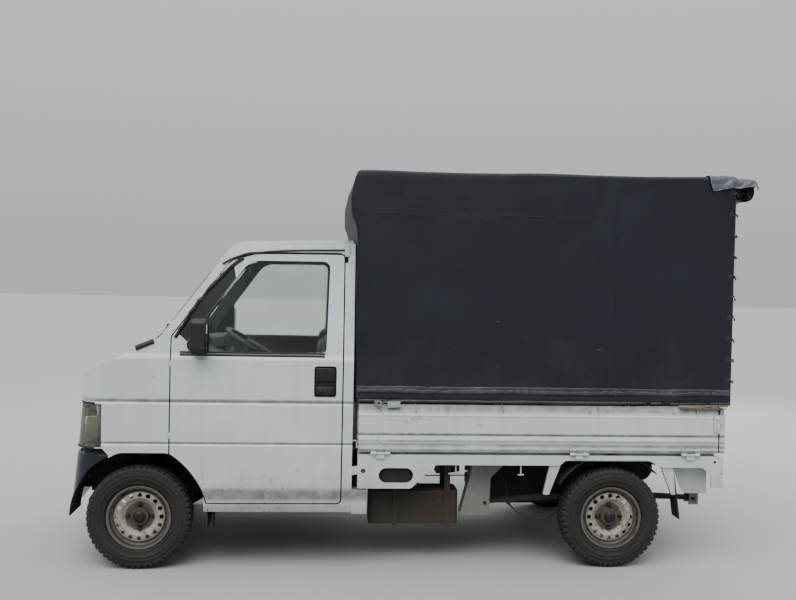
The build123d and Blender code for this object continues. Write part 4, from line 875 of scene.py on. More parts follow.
middle = Vector((hood_low.x, 0, 1.45))
for v in verts_in(returned):
    toward = Vector((0, middle.y - v.co.y, 0)) if v.co.z < 1.99 else Vector((0, 0, -1))
    v.co += toward.normalized() * 0.045 + Vector((0.012, 0, 0))
for v in hood.verts:
    v.co = hang(v.co)
tarpaulin = keep(hood, "hood_canvas", "canvas", sharp=60)
give_wall(tarpaulin, 0.0015, -1)
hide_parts("tarpaulin")

# %% [markdown]
# ## Hem, seam and eyelets of the hood
# Along its foot the cloth is folded over a rope, a soft roll that catches the light: long blocks, cut
# into short lengths and crumpled. Stitching marks the seam, and tie loops through eyelets hold the rear
# edge.

# %% Hem roll, seam tape and ties
def crumpled_roll(bm, start, end, height, thick, size, amount, seed):
    """A soft roll of folded cloth from start to end, crumpled along its length."""
    along = Vector(end) - Vector(start)
    before = set(bm.verts)
    corners = bmesh.ops.create_cube(bm, size=1)["verts"]
    bmesh.ops.scale(bm, vec=(along.length, thick * MM, height * MM), verts=corners)
    long_edges = [e for e in {e for v in corners for e in v.link_edges}
        if abs(e.verts[0].co.x - e.verts[1].co.x) > along.length / 2]
    rounded(bm, long_edges, thick * 0.48, 3)
    for step in range(1, round(along.length / size)):
        added = [v for v in bm.verts if v not in before]
        where = -along.length / 2 + step * size
        bmesh.ops.bisect_plane(bm, geom=with_links(added), plane_co=(where, 0, 0), plane_no=(1, 0, 0),
            dist=1e-5)
    added = [v for v in bm.verts if v not in before]
    for v in added:
        wave = ripple((v.co.x, v.co.z * 2, seed), 0.026, seed) * 0.5 + ripple((v.co.x, v.co.z, seed), 0.011,
            seed + 4) * 0.6
        v.co.z += amount * MM * (wave + 0.9 * ripple((v.co.x, 0, seed), 0.20, seed + 2))
        v.co.y += amount * MM * ripple((v.co.x, v.co.z, seed + 9), 0.024, seed + 7) * 0.9
    turn = Matrix.Rotation(atan2(along.y, along.x), 3, "Z")
    return settle(bm, before, (Vector(start) + Vector(end)) / 2, turn)


hem = bmesh.new()
hem_z = 0.921
for name, side in SIDES:
    y = side * (hood_high.y + 0.0015)
    crumpled_roll(hem, (hood_high.x - 0.01, y, hem_z + 0.012), (hood_low.x + 0.004, y, hem_z + 0.006), 19,
        10, 0.011, 4.0, side * 3.0)
    crumpled_roll(hem, (hood_high.x - 0.01, y, hem_z - 0.004), (hood_low.x + 0.004, y, hem_z - 0.010), 21,
        12, 0.013, 5.0, side * 6.0)
    crumpled_roll(hem, (hood_high.x - 0.02, y * 0.9985, 0.866), (hood_low.x + 0.004, y * 0.9985, 0.862), 13,
        9, 0.022, 3.0, side * 8.0)
crumpled_roll(hem, (hood_high.x - 0.004, -0.70, hem_z), (hood_high.x - 0.004, 0.70, hem_z), 40, 8, 0.02,
    2.0, 5.0)
hem_roll = keep(hem, "hood_hem", "canvas_hem", "canvas", sharp=80)

tape = bmesh.new()
for name, side in SIDES:
    for offset in (0.0, -0.028):
        points = [Vector((seam_x + offset + 0.002 * ripple((0, 0, z), 0.2, 6), 0, z))
            for z in [0.95 + 0.05 * i for i in range(21)]]
        for point in points:
            point.y = hang(Vector((point.x, side * hood_high.y, point.z))).y
        bead(tape, points, 1.3, round_steps=1)
    points = []
    for i in range(25):
        x = hood_high.x - 0.03 + (seam_x + 0.1 - hood_high.x + 0.03) * i / 24
        points.append(hang(Vector((x, side * hood_high.y, lap_z + 0.002))))
    bead(tape, points, 1.2, round_steps=1)
seam_stitching = keep(tape, "hood_seams", "canvas", sharp=60)

ties = bmesh.new()
for name, side in SIDES:
    for step in range(10):
        z = 0.99 + step * 0.108 + 0.008 * ripple((step, side, 0), 1.3)
        spot_x = hood_low.x + 0.020
        turning(ties, ((6, -1), (10, -1), (11, 0.5), (9, 1.8), (6, 1.2), (6, -1)),
            (spot_x, side * (hood_high.y + 0.001), z), "y", 14)
        loop = []
        for turn_step in range(10):
            angle = tau * turn_step / 10
            reach = 0.013 + 0.003 * ripple((step, angle, side), 0.7)
            loop.append((hood_low.x + 0.004 + reach * cos(angle),
                side * (hood_high.y - 0.014 + 0.019 * sin(angle)), z + 0.010 * cos(angle + step)))
        bead(ties, loop, 3.2, closed=True, round_steps=1)
        end = Vector((hood_low.x - 0.008, side * (hood_high.y - 0.004), z))
        loose_end = [end, end + Vector((-0.003, side * 0.003, -0.006)),
            end + Vector((-0.003, side * 0.004, -0.016))]
        bead(ties, loose_end, 3.4, round_steps=1)
hood_ties = keep(ties, "hood_ties", "webbing", "canvas")

snags = bmesh.new()
for ahead, up, wide, tall in ((-2325, 1141, 24, 8), (-1792, 1274, 18, 6)):
    base = hang(Vector((at(ahead, 0, 0).x, hood_high.y, up * MM)))
    block(snags, base + Vector((0, 0.002, 0)), (wide, 2.4, tall), 1.0, 1, tilt(0.5, "X"))
hood_snags = keep(snags, "hood_snags", "canvas_scrim", "canvas")

# %% [markdown]
# ## The rolled rear curtain
# The rear curtain is rolled up loosely and tied under the rear hoop. A spiral is drawn out sideways in
# short steps, which gives one sheet with air between its turns, tight at the three straps and slack
# between them.

# %% Rolled curtain
roll_low, roll_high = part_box("rear_curtain")
roll_middle = (roll_low + roll_high) / 2
roll_wide, roll_tall = (roll_high.x - roll_low.x) / 2, (roll_high.z - roll_low.z) / 2
strap_places = [-0.56, 0.02, 0.57]
turns, core, steps_round = 4.3, 0.20, 30
spiral = []
for step in range(int(turns * steps_round) + 1):
    share = step / (turns * steps_round)
    angle = tau * turns * share + 0.9
    size = core + (0.965 - core) * share
    spiral.append(Vector((cos(angle) * size * roll_wide, 0, sin(angle) * size * roll_tall)))
curtain = bmesh.new()
ring = [curtain.verts.new(p + Vector((roll_middle.x, roll_low.y, roll_middle.z))) for p in spiral]
growing = [curtain.edges.new(pair) for pair in zip(ring, ring[1:])]
slices = 44
for step in range(slices):
    made = bmesh.ops.extrude_edge_only(curtain, edges=growing)["geom"]
    growing = [g for g in made if isinstance(g, bmesh.types.BMEdge)]
    bmesh.ops.translate(curtain, vec=(0, (roll_high.y - roll_low.y) / slices, 0), verts=verts_in(made))
for v in curtain.verts:
    out = Vector((v.co.x - roll_middle.x, 0, v.co.z - roll_middle.z))
    tied = min(abs(v.co.y - s) for s in strap_places)
    slack = min(1.0, tied / 0.16)
    crumple = 1 + 0.050 * slack * ripple((out.x * 3, v.co.y, out.z * 3), 0.075, 4.0) - 0.10 * (1 - slack) ** 2
    v.co.x = roll_middle.x + out.x * crumple
    v.co.z = roll_middle.z + out.z * crumple - 0.010 * slack * (1 - abs(v.co.y) / 1.4)
rolled_curtain = keep(curtain, "rolled_curtain", "canvas", sharp=80, outward=False)
give_wall(rolled_curtain, 0.0014, 0)
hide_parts("rear_curtain")

straps = bmesh.new()
for y in strap_places:
    around = []
    for step in range(28):
        angle = tau * step / 28
        around.append((roll_middle.x + cos(angle) * roll_wide * 0.93, y,
            roll_middle.z + sin(angle) * roll_tall * 0.93))
    band = bead(straps, around, 1.6, closed=True, round_steps=1)
    bmesh.ops.scale(straps, vec=(1, 9, 1), space=Matrix.Translation((0, -y, 0)), verts=band)
    block(straps, (hood_low.x - 0.004, y, roll_middle.z + 0.052), (34, 28, 2.4), 0.8, 1, tilt(-0.5, "Y"))
    block(straps, (roll_low.x + 0.001, y, roll_middle.z - 0.004), (5, 38, 26), 1.2, 2)
curtain_straps = keep(straps, "curtain_straps", "webbing", "canvas")

# %% [markdown]
# ## The loose cover at the hood's rear corner
# A length of grey plastic cloth lies over the hood's rear corner and the end of the roll. Its creases
# come from weight and a hard edge, so it is simulated: a flat sheet falls on plain stand-ins of both,
# and grows while it falls, which crumples it.

# %% Playing a simulation
def shaped(piece):
    """The mesh that an object's modifiers make of it."""
    return bpy.data.meshes.new_from_object(piece.evaluated_get(bpy.context.evaluated_depsgraph_get()))


def played(piece, cloth, last):
    """The mesh that a cloth modifier ends in at its last frame."""
    cloth.point_cache.frame_start, cloth.point_cache.frame_end = 1, last
    for moment in range(1, last + 1):
        bpy.context.scene.frame_set(moment)
    settled = shaped(piece)
    bpy.context.scene.frame_set(1)
    return settled

# %% Loose cover, draped by simulation
def bump_stand_in(name, low, high):
    """A plain box that falling cloth lands on."""
    bm = bmesh.new()
    bmesh.ops.create_cube(bm, size=1)
    bmesh.ops.scale(bm, vec=Vector(high) - Vector(low), verts=bm.verts)
    bmesh.ops.translate(bm, vec=(Vector(high) + Vector(low)) / 2, verts=bm.verts)
    rounded(bm, bm.edges[:], 14, 3)
    made = new_object(name, mesh_of(bm, name))
    made.modifiers.new("landing", "COLLISION")
    made.collision.thickness_outer = 0.004
    made.collision.cloth_friction = 40
    return made


DRAPE_FRAMES = 34
cover_width, cover_length = 0.235, 0.33
cover_middle = Vector((hood_low.x + 0.022, 0.588, 2.066))
cover = bmesh.new()
bmesh.ops.create_grid(cover, x_segments=46, y_segments=56, size=0.5)
bmesh.ops.scale(cover, vec=(cover_width, cover_length, 1), verts=cover.verts)
for v in cover.verts:
    v.co.z += 0.012 * ripple(v.co, 0.05, 3.0) + 0.010 * ripple(v.co, 0.12, 6.0)
    v.co.x += 0.010 * ripple((v.co.y, 0, 0), 0.08, 2.0)
bmesh.ops.rotate(cover, verts=cover.verts, cent=(0, 0, 0), matrix=tilt(0.14, "Z"))
bmesh.ops.translate(cover, vec=cover_middle, verts=cover.verts)
cover_mesh = mesh_of(cover, "loose_cover")
falling = new_object("falling_cover", cover_mesh)
held = falling.vertex_groups.new(name="held")
held.add([v.index for v in cover_mesh.vertices if (v.co - cover_middle).length < 0.035], 0.6, "REPLACE")
corner_stand_in = bump_stand_in("corner", (hood_low.x, -0.2, 1.2),
    (hood_low.x + 0.5, hood_high.y + 0.002, hood_high.z - 0.002))
roll_stand_in = bump_stand_in("roll", (roll_low.x, -0.2, roll_low.z),
    (roll_high.x + 0.002, roll_high.y, roll_high.z - 0.012))
fall = falling.modifiers.new("fall", "CLOTH")
fall.settings.quality = 7
fall.settings.mass = 0.12
fall.settings.tension_stiffness = 12
fall.settings.bending_stiffness = 0.25
fall.settings.vertex_group_mass = "held"
fall.settings.shrink_min = -0.24
fall.collision_settings.distance_min = 0.003
fall.collision_settings.use_self_collision = True
fall.collision_settings.self_distance_min = 0.003
settled = played(falling, fall, DRAPE_FRAMES)
bpy.data.objects.remove(corner_stand_in)
bpy.data.objects.remove(roll_stand_in)
bpy.data.objects.remove(falling)
draped = bmesh.new()
draped.from_mesh(settled)
cover_area = sum(f.calc_area() for f in draped.faces)
draped.normal_update()
for v in draped.verts:
    v.co += v.normal * (0.0030 * ripple(v.co, 0.026, 9.0) + 0.0050 * max(0.0, ripple(v.co, 0.060, 15.0)))
loose_cover = keep(draped, "loose_cover", "grey_cover", "canvas", sharp=90)
give_wall(loose_cover, 0.0010, 0)
smoother = loose_cover.modifiers.new("smoother", "SUBSURF")
smoother.levels = smoother.render_levels = 1

# %% [markdown]
# ## Seats
# Each seat is a cushion and a back, stuffed and sewn. A pad starts as a slightly smaller rounded block,
# is remeshed into an even grid and blown up as cloth under pressure, with a limit on how far a point
# moves. The sewn channels are pressed in afterwards. The right seat is the mirror image of the left.

# %% Seat pads, blown up by simulation
SEAT_LEFT = 345
SEAT_GRID = 0.007
BLOW_FRAMES = 20
seat_base_top = at(0, 0, 641).z


def swollen(name, shape, most):
    """Blows a rounded block up into a pad, with no point moved further than most, in metres."""
    pad = new_object(name, mesh_of(shape, name))
    grid = pad.modifiers.new("grid", "REMESH")
    grid.mode = "VOXEL"
    grid.voxel_size = SEAT_GRID
    even = shaped(pad)
    pad.modifiers.clear()
    pad.data = even
    blown = even
    air = pad.modifiers.new("air", "CLOTH")
    air.settings.quality = 5
    air.settings.mass = 0.3
    air.settings.use_pressure = True
    air.settings.uniform_pressure_force = 4
    air.settings.effector_weights.gravity = 0
    blown = played(pad, air, BLOW_FRAMES)
    result = bmesh.new()
    result.from_mesh(blown)
    for v, start in zip(result.verts, even.vertices):
        moved = v.co - start.co
        if moved.length > most:
            v.co = start.co + moved.normalized() * most
    bpy.data.objects.remove(pad)
    result.normal_update()
    return result


def groove(gap, deep=0.007, wide=0.007):
    """How deep a sewn channel is at a distance from its thread, in metres."""
    return deep * exp(-(gap / wide) ** 2)


def sew(pad, facing, threads):
    """Presses channels into the faces that look along facing. threads gives a point's distances from them."""
    pressed = []
    for v in pad.verts:
        if v.normal.dot(facing) > 0.35:
            pressed.append((v, v.normal * sum(groove(gap) for gap in threads(v.co))))
    for v, depth in pressed:
        v.co -= depth


cushion_middle, back_middle = at(-660, SEAT_LEFT, 688), at(-922, SEAT_LEFT, 950)
back_lean = tilt(-0.105, "Y")
cushion_block = bmesh.new()
block(cushion_block, cushion_middle, (368, 444, 68), 26, 4)
cushion = swollen("cushion_form", cushion_block, 0.018)
for v in cushion.verts:
    v.co.z = max(v.co.z, seat_base_top)
sew(cushion, Vector((0, 0, 1)), lambda p: (abs(abs(p.y - cushion_middle.y) - 0.072),
    abs(abs(p.y - cushion_middle.y) - 0.178), abs(p.x - cushion_middle.x - 0.020)))
back_block = bmesh.new()
block(back_block, back_middle, (96, 436, 462), 30, 4, back_lean, (0.82, 0.92))
back = swollen("back_form", back_block, 0.018)
sew(back, Vector((1, 0, 0)), lambda p: (abs(abs(p.y - back_middle.y) - 0.072),
    abs(abs(p.y - back_middle.y) - 0.165), abs(p.z - back_middle.z - 0.135)))
welted = [(v, v.normal * groove(abs(abs(v.co.y - back_middle.y) - 0.214), 0.004, 0.005)) for v in back.verts]
for v, height in welted:
    v.co += height


def padded_seat(name, mesh):
    """A finished pad: smooth and subdivided once, riding on the chassis."""
    pad = new_object(name, mesh)
    smoother = pad.modifiers.new("smoother", "SUBSURF")
    smoother.levels = smoother.render_levels = 1
    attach(pad, "chassis")
    print(name, "faces", len(mesh.polygons))
    return pad


for form, part in ((cushion, "seat_cushion"), (back, "seat_back")):
    left_mesh = mesh_of(form, part)
    left_mesh.materials.append(finish["seat_fabric"])
    left_mesh.shade_smooth()
    right_mesh = left_mesh.copy()
    right_mesh.transform(Matrix.Scale(-1, 4, (0, 1, 0)))
    right_mesh.flip_normals()
    for side, mesh in (("left", left_mesh), ("right", right_mesh)):
        pad = padded_seat(side + "_" + part, mesh)
        if pad.name == "left_seat_cushion":
            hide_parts("seats")

# %% Seat bases, slides and hinge plates
bases = bmesh.new()
base = block(bases, at(-715, SEAT_LEFT, 527), (436, 376, 222), 10, 2)
for y in (SEAT_LEFT - 205, SEAT_LEFT + 205):
    base += block(bases, at(-700, y, 432), (420, 24, 26), 3, 2)
    base += block(bases, at(-880, y + copysign(20, y - SEAT_LEFT), 700), (62, 6, 90), 12, 2)
    base += turning(bases, ((0, -6), (13, -6), (13, 4), (10, 7), (0, 7)),
        at(-882, y + copysign(22, y - SEAT_LEFT), 706), "y", 20)
other_side(bases, base)
keep(bases, "seat_bases", "seat_vinyl", "seat_fabric")

# %% [markdown]
# ## Wheels
# The rims keep their CAD shape. What tells a used wheel from a new one goes by distance from its
# middle: a bright rubbed flange, a dirty well round the hub, dust on the tread. So each wheel's finish
# reads that distance from its own centre.

# %% Finishes by distance from the wheel's centre
def wheel_finish(name, centre, rings, speck_size, rust, depth, rough):
    """A finish of rings: (distance in mm, colour) from the middle out, with rust and grime over it."""
    made, tree, shader, spot = new_finish(name)
    local = node(tree, "Mapping", {"Vector": spot, "Location": -centre}).outputs[0]
    parts = node(tree, "SeparateXYZ", {0: local}).outputs
    flat = node(tree, "CombineXYZ", {0: parts["X"], 1: parts["Z"]}).outputs[0]
    away = node(tree, "VectorMath", {0: flat}, operation="LENGTH").outputs["Value"]
    uneven = calc(tree, "*+", specks(tree, spot, 22.0, 5.0), 0.020, -0.010)
    away = calc(tree, "+", away, uneven)
    base = (*rings[0][1], 1)
    for end, colour in rings[1:]:
        share = between(tree, away, (end - 4) * MM, (end + 4) * MM)
        base = tint(tree, share, base, (*colour, 1))
    mottle = between(tree, specks(tree, spot, speck_size, 7.0, 0.7), 0.35, 0.70)
    base = tint(tree, calc(tree, "*", mottle, 0.42 if rust else 0.12), base, (0.10, 0.075, 0.055, 1))
    base = covered(tree, base, worn_edges, "Wear", (0.42, 0.39, 0.34, 1) if rust else (0.13, 0.11, 0.09, 1),
        Width=0.0025, Amount=0.55)[0]
    rusted = place_effect(tree, rust_bloom, Size=64.0, Amount=rust)
    rust_share = calc(tree, "*", rusted["Rust"], 0.85 if rust else 0.0)
    base = tint(tree, rust_share, base, rusted["Colour"])
    dusty = between(tree, specks(tree, spot, 6.0, 5.0), 0.42, 0.75)
    base = tint(tree, calc(tree, "*", dusty, 0.28 if rust else 0.12), base, (0.17, 0.145, 0.115, 1))
    relief = calc(tree, "+", mottle, rust_share)
    bump = node(tree, "Bump", {"Height": relief, "Strength": 0.5, "Distance": depth}).outputs[0]
    plug(shader, {"Base Color": base, "Roughness": calc(tree, "*+", mottle, 0.20, rough), "Normal": bump})
    return made


RIM_RINGS = ((0, (0.060, 0.052, 0.045)), (50, (0.105, 0.090, 0.074)), (74, (0.44, 0.41, 0.36)),
    (98, (0.36, 0.335, 0.295)), (126, (0.17, 0.15, 0.13)), (142, (0.050, 0.047, 0.044)),
    (151, (0.150, 0.140, 0.126)))
TYRE_RINGS = ((0, (0.040, 0.036, 0.032)), (168, (0.021, 0.020, 0.020)), (186, (0.024, 0.0235, 0.0235)),
    (226, (0.034, 0.031, 0.028)), (244, (0.044, 0.039, 0.034)))
HALF_TRACK = 645
wheel_centres = {}
for end, ahead in (("front", 0.0), ("rear", rear)):
    for name, side in SIDES:
        wheel_centres[f"{end}_{name}"] = (at(ahead, side * HALF_TRACK, axle_z / MM), side)
for wheel, (centre, side) in wheel_centres.items():
    worn_rim = wheel_finish(wheel + "_rim_finish", centre, RIM_RINGS, 95.0, 0.62, 0.0008, 0.45)
    frame["nodes"][wheel + "_rim"].data.materials[0] = worn_rim
    finish[wheel + "_tyre"] = wheel_finish(wheel + "_tyre_finish", centre, TYRE_RINGS, 120.0, 0.0, 0.0010,
        0.68)

# %% [markdown]
# ## Tyres
# The carcass is a lathe turning. The tread is one pitch of ten blocks, bevelled once and spun round the
# axle as copies. The blocks end just inside the CAD tyre's radius, so that the wheel still stands on
# the floor.

# %% Tyres
tyre_profile = [(152.4, -49), (152.4, 49), (163, 49), (165.5, 58), (169, 62), (171.5, 65.5), (176, 66.5),
    (179, 66), (184, 68.6), (196, 71), (197, 72), (200, 72.2), (201, 71.4), (212, 71.2), (213, 71.9),
    (216, 71.8), (217, 70.8), (226, 69.6), (236, 66.5), (244, 62.5), (249, 57), (251.5, 50), (252.5, 30),
    (253, 0)]
tyre_profile += [(radius, -across) for radius, across in reversed(tyre_profile[2:-1])]
tyre_profile.append(tyre_profile[0])
pitches = 52
tyre_template = bmesh.new()
turning(tyre_template, tyre_profile, (0, 0, 0), "y", 96)
blocks = []
for across, wide, long, radius, skew in ((9, 15, 25, 254.3, 0.25), (-9, 15, 25, 254.3, -0.25),
        (28, 16, 23, 254.0, 0.40), (-28, 16, 23, 254.0, -0.40), (48, 17, 21, 253.0, 0.10),
        (-48, 17, 21, 253.0, -0.10)):
    shift = 6 if across in (9, -28, 48) else -6
    turn = tilt(skew, "Z")
    blocks += block(tyre_template, Vector((shift * MM, across * MM, radius * MM)), (long, wide, 10.5), 1.2,
        1, turn)
for side in (1, -1):
    turn = tilt(side * -1.02, "X")
    blocks += block(tyre_template, Vector((side * 6 * MM, side * 62.6 * MM, 241.5 * MM)), (19, 19, 9), 1.6,
        1, turn)
    blocks += block(tyre_template, Vector((side * -8 * MM, side * 67.6 * MM, 231.0 * MM)), (9, 12, 5), 1.2,
        1, tilt(side * -1.30, "X"))
bmesh.ops.spin(tyre_template, geom=with_links(blocks), cent=(0, 0, 0), axis=(0, 1, 0), dvec=(0, 0, 0),
    angle=tau * (pitches - 1) / pitches, steps=pitches - 1, use_merge=False, use_duplicate=True)
widest = max(hypot(v.co.x, v.co.z) for v in tyre_template.verts)
print("tyre radius", round(widest, 4), "half width", round(max(v.co.y for v in tyre_template.verts), 4))


def fit_to_wheel(template, wheel):
    """A copy of a wheel's piece, moved to its axle and turned to face outward."""
    centre, side = wheel_centres[wheel]
    fitted = template.copy()
    turn = Matrix.Identity(4) if side > 0 else Matrix.Rotation(pi, 4, "Z")
    bmesh.ops.transform(fitted, matrix=Matrix.Translation(centre) @ turn, verts=fitted.verts)
    return fitted


for wheel in wheel_centres:
    finish["tyre_here"] = finish[wheel + "_tyre"]
    tyre = keep(fit_to_wheel(tyre_template, wheel), wheel + "_tread_tyre", "tyre_here", "tyre_rubber",
        wheel + "_wheel", 40)
    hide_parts(wheel + "_tyre")
tyre_template.free()

# %% [markdown]
# ## Wheel nuts, hub cap and valve
# Four nuts on studs, a pressed grease cap and a rubber valve. A nut is a lathe turning of only six
# steps, which makes a hexagon with a cone under it.

# %% Wheel nuts, hub caps and valves
STUD_CIRCLE, VALVE_CIRCLE = 62, 135
nuts = bmesh.new()
for quarter in range(4):
    angle = quarter * pi / 2
    spot = Vector((STUD_CIRCLE * cos(angle), 0, STUD_CIRCLE * sin(angle))) * MM
    turning(nuts, ((0, 12.5), (13, 12.5), (13.5, 15), (11, 17), (0, 17)), spot, "y", 20)
    turning(nuts, ((0, 16), (11.2, 16), (11.2, 27.5), (9.2, 30), (0, 30)), spot, "y", 6)
    turning(nuts, ((0, 29), (5.6, 29), (5.6, 34), (4.6, 35.5), (0, 35.5)), spot, "y", 12)
turning(nuts, ((26.5, 33.6), (30, 33.6), (30, 37), (26, 39), (25, 47), (20, 52), (8, 54), (0, 54.2),
    (0, 33.6), (26.5, 33.6)), (0, 0, 0), "y", 28)
turning(nuts, ((0, 22), (6.5, 22), (6.5, 27), (4.6, 29), (4.2, 44), (5.0, 45), (5.0, 53), (4.0, 55),
    (0, 55)), Vector((VALVE_CIRCLE * cos(0.9), 0, VALVE_CIRCLE * sin(0.9))) * MM, "y", 12)
for wheel in wheel_centres:
    keep(fit_to_wheel(nuts, wheel), wheel + "_nuts_and_cap", "hub_steel", "bare_steel", wheel + "_wheel", 30)
nuts.free()

# %% [markdown]
# ## Finding the body's skin
# Seals, handles and lamps lie on curved panels. A ray is shot at the CAD piece and the detail is placed
# where it lands, so nothing floats or sinks.

# %% Finding the body's skin
shells = {}


def skin(name, start, direction, lift=0.0):
    """The place on a CAD piece that a ray from start meets, lifted off its surface by millimetres."""
    if name not in shells:
        mesh = frame["nodes"][name].data
        shells[name] = BVHTree.FromPolygons([v.co for v in mesh.vertices],
            [tuple(p.vertices) for p in mesh.polygons])
    hit, normal = shells[name].ray_cast(Vector(start), Vector(direction))[:2]
    return None if hit is None else hit + normal * lift * MM


def on_side(name, ahead, up, lift=0.0):
    """The place on a CAD piece that a level ray from the truck's left meets."""
    return skin(name, at(ahead, 900, up), (0, -1, 0), lift)


def round_corners(corners, radii, steps=4):
    """Points along a closed outline of flat corners, each rounded by its own radius."""
    outline = []
    for index, (corner, radius) in enumerate(zip(corners, radii)):
        here = Vector(corner)
        to_last = (Vector(corners[index - 1]) - here).normalized()
        to_next = (Vector(corners[(index + 1) % len(corners)]) - here).normalized()
        half = to_last.angle(to_next) / 2
        centre = here + (to_last + to_next).normalized() * (radius / sin(half))
        first = here + to_last * (radius / tan(half)) - centre
        last = here + to_next * (radius / tan(half)) - centre
        outline += [centre + first.slerp(last, step / steps) for step in range(steps + 1)]
    return outline


def filled_in(outline, longest=60):
    """The same closed outline with extra points, so that it can follow a curved skin."""
    points = []
    for index, here in enumerate(outline):
        following = outline[(index + 1) % len(outline)]
        count = max(1, ceil((following - here).length / longest))
        points += [here.lerp(following, step / count) for step in range(count)]
    return points


def turn_over(bm):
    """Turns everything in bm into its mirror image on the truck's right."""
    bmesh.ops.scale(bm, vec=(1, -1, 1), verts=bm.verts)
    bmesh.ops.reverse_faces(bm, faces=bm.faces)


def both_sides(name, body, material, slot, build):
    """Makes a left piece, and its mirror image on the right, from one function that fills a bmesh."""
    for side, sign in SIDES:
        bm = bmesh.new()
        build(bm)
        if sign < 0:
            turn_over(bm)
        keep(bm, side + "_" + name, material, slot, side + body if body.startswith("_") else body)

# %% [markdown]
# ## Seals, drip rails and belt strips
# Each window hole has a rubber seal in its edge. The one up the slanted front edge has perished
# and stands proud in lumps. A drip rail runs along the roof's side, with a folded end at the rear.

# %% Seals, drip rails and belt strips
WINDOW = ((-176, 1083), (-521, 1568), (-944, 1571), (-931, 1091))
WINDOW_RADII = (46, 126, 42, 32)


def door_seals(bm):
    """The rubber round a door's window, and the strip at its foot that wipes the glass."""
    around = filled_in(round_corners(WINDOW, WINDOW_RADII))
    spots = [on_side("left_door", p.x, p.y, -1.0) for p in around]
    bead(bm, [s for s in spots if s], 6.5, closed=True, smooth=False)
    foot = [on_side("left_door", ahead, 1083, 0.5) for ahead in (-195, -330, -480, -640, -790, -915)]
    for offset, radius in ((0.000, 5.0), (0.014, 4.0)):
        bead(bm, [f + Vector((0, 0, offset)) for f in foot if f], radius)


def front_frame(bm):
    """The black covering of the door frame up the slanted front edge, between seal and window."""
    far = [(-180, 1192), (-222, 1268), (-292, 1372), (-372, 1462), (-446, 1542)]
    near = []
    for start, up in ((-200, 1150), (-262, 1226), (-352, 1350), (-442, 1472), (-490, 1540)):
        while start > -560 and on_side("left_door", start - 4, up):
            start -= 3
        near.append((start, up))
    rows = [[on_side("left_door", ahead, up, 1.2) for ahead, up in line] for line in (near, far)]
    corners = [[bm.verts.new(p) for p in row if p] for row in rows]
    for first, second, third, fourth in zip(corners[0], corners[0][1:], corners[1][1:], corners[1]):
        bm.faces.new((first, second, third, fourth))
    bmesh.ops.recalc_face_normals(bm, faces=bm.faces)
    solid = bmesh.ops.extrude_face_region(bm, geom=bm.faces[:], use_keep_orig=True)["geom"]
    bmesh.ops.translate(bm, vec=(0, -3 * MM, 0), verts=verts_in(solid))


def perished_seal(bm):
    """The lumpy seal up the windscreen pillar."""
    route = line_of((-168, 716, 1168), (-187, 712, 1195), (-278, 688, 1356), (-365, 673, 1448),
        (-432, 664, 1530), (-494, 656, 1574))
    added = bead(bm, route, 8.5)
    for v in added:
        lumps = max(0.0, 1 - abs(v.co.z - 1.36) / 0.22)
        v.co += Vector((0.010, 0.006, 0.008)) * lumps * ripple(v.co, 0.028, 5.0)


def drip_rail(bm):
    """The folded gutter above the doors, with its turned-down end."""
    route = line_of((-392, 664, 1540), (-423, 660, 1563), (-502, 655, 1592), (-639, 652, 1611),
        (-820, 650, 1620), (-1012, 650, 1624))
    bead(bm, route, 4.2)


def drip_end(bm):
    """The gutter's white end at the cab's rear corner."""
    block(bm, at(-1020, 652, 1622), (26, 12, 66), 5, 2)
    block(bm, at(-1016, 656, 1648), (30, 8, 12), 3, 2)


for name, body, material, build in (("door_seals", "_door", "seal_rubber", door_seals),
        ("front_frame_cover", "_door", "dark_trim", front_frame),
        ("pillar_seal", "chassis", "seal_rubber", perished_seal),
        ("drip_rail", "chassis", "seal_rubber", drip_rail)):
    both_sides(name, body, material, "dark_trim", build)
both_sides("drip_rail_end", "chassis", "white_paint", "white_paint", drip_end)

screen_seals = bmesh.new()
for half, low, high, start, direction in ((586, 1193, 1553, 900, -1), (478, 1193, 1497, -1100, 1)):
    corners = ((-half, low), (-half + 20 * (direction < 0), high), (half - 20 * (direction < 0), high),
        (half, low))
    around = filled_in(round_corners(corners, (50, 60, 60, 50)))
    spots = [skin("cab_glass", at(start, p.x, p.y), (direction, 0, 0), 2.0) for p in around]
    bead(screen_seals, [s for s in spots if s], 8.5, closed=True, smooth=False)
keep(screen_seals, "screen_seals", "seal_rubber", "dark_trim")

# %% [markdown]
# ## Door handles, locks and mirrors
# The handle is a flap over a moulded cup, with the lock below it, all in one dark frame. The mirror
# gets its glass, its clamp and the screws of the black sail.

# %% Door handles, locks and mirrors
def door_handle(bm):
    """The frame, cup, flap and lock in the recess of a door."""
    around = round_corners(((-976, 879), (-976, 1035), (-864, 1035), (-864, 879)), (18,) * 4)
    spots = [on_side("left_door", p.x + copysign(3, p.x + 920), p.y + copysign(3, p.y - 957)) for p in around]
    bead(bm, [s for s in spots if s], 3.2, closed=True, smooth=False, round_steps=1)
    face = on_side("left_door", -920, 1050).y / MM
    floor_y = on_side("left_door", -920, 957).y / MM
    block(bm, at(-920, floor_y + 1.5, 957), (110, 3, 154), 1.0, 1)
    for ahead in (-974, -866):
        block(bm, at(ahead, face - 13, 957), (4, 26, 150), 1.2, 1)
    for up in (881, 1033):
        block(bm, at(-920, face - 13, up), (108, 26, 4), 1.2, 1)
    block(bm, at(-920, face - 5, 992), (100, 9, 68), 4, 3, tilt(-0.06, "X"))
    block(bm, at(-920, face - 13, 909), (100, 16, 42), 6, 2)
    turning(bm, ((0, 4), (9, 4), (12, 2), (13, -4), (0, -4)), at(-895, face - 4, 909), "y", 20)


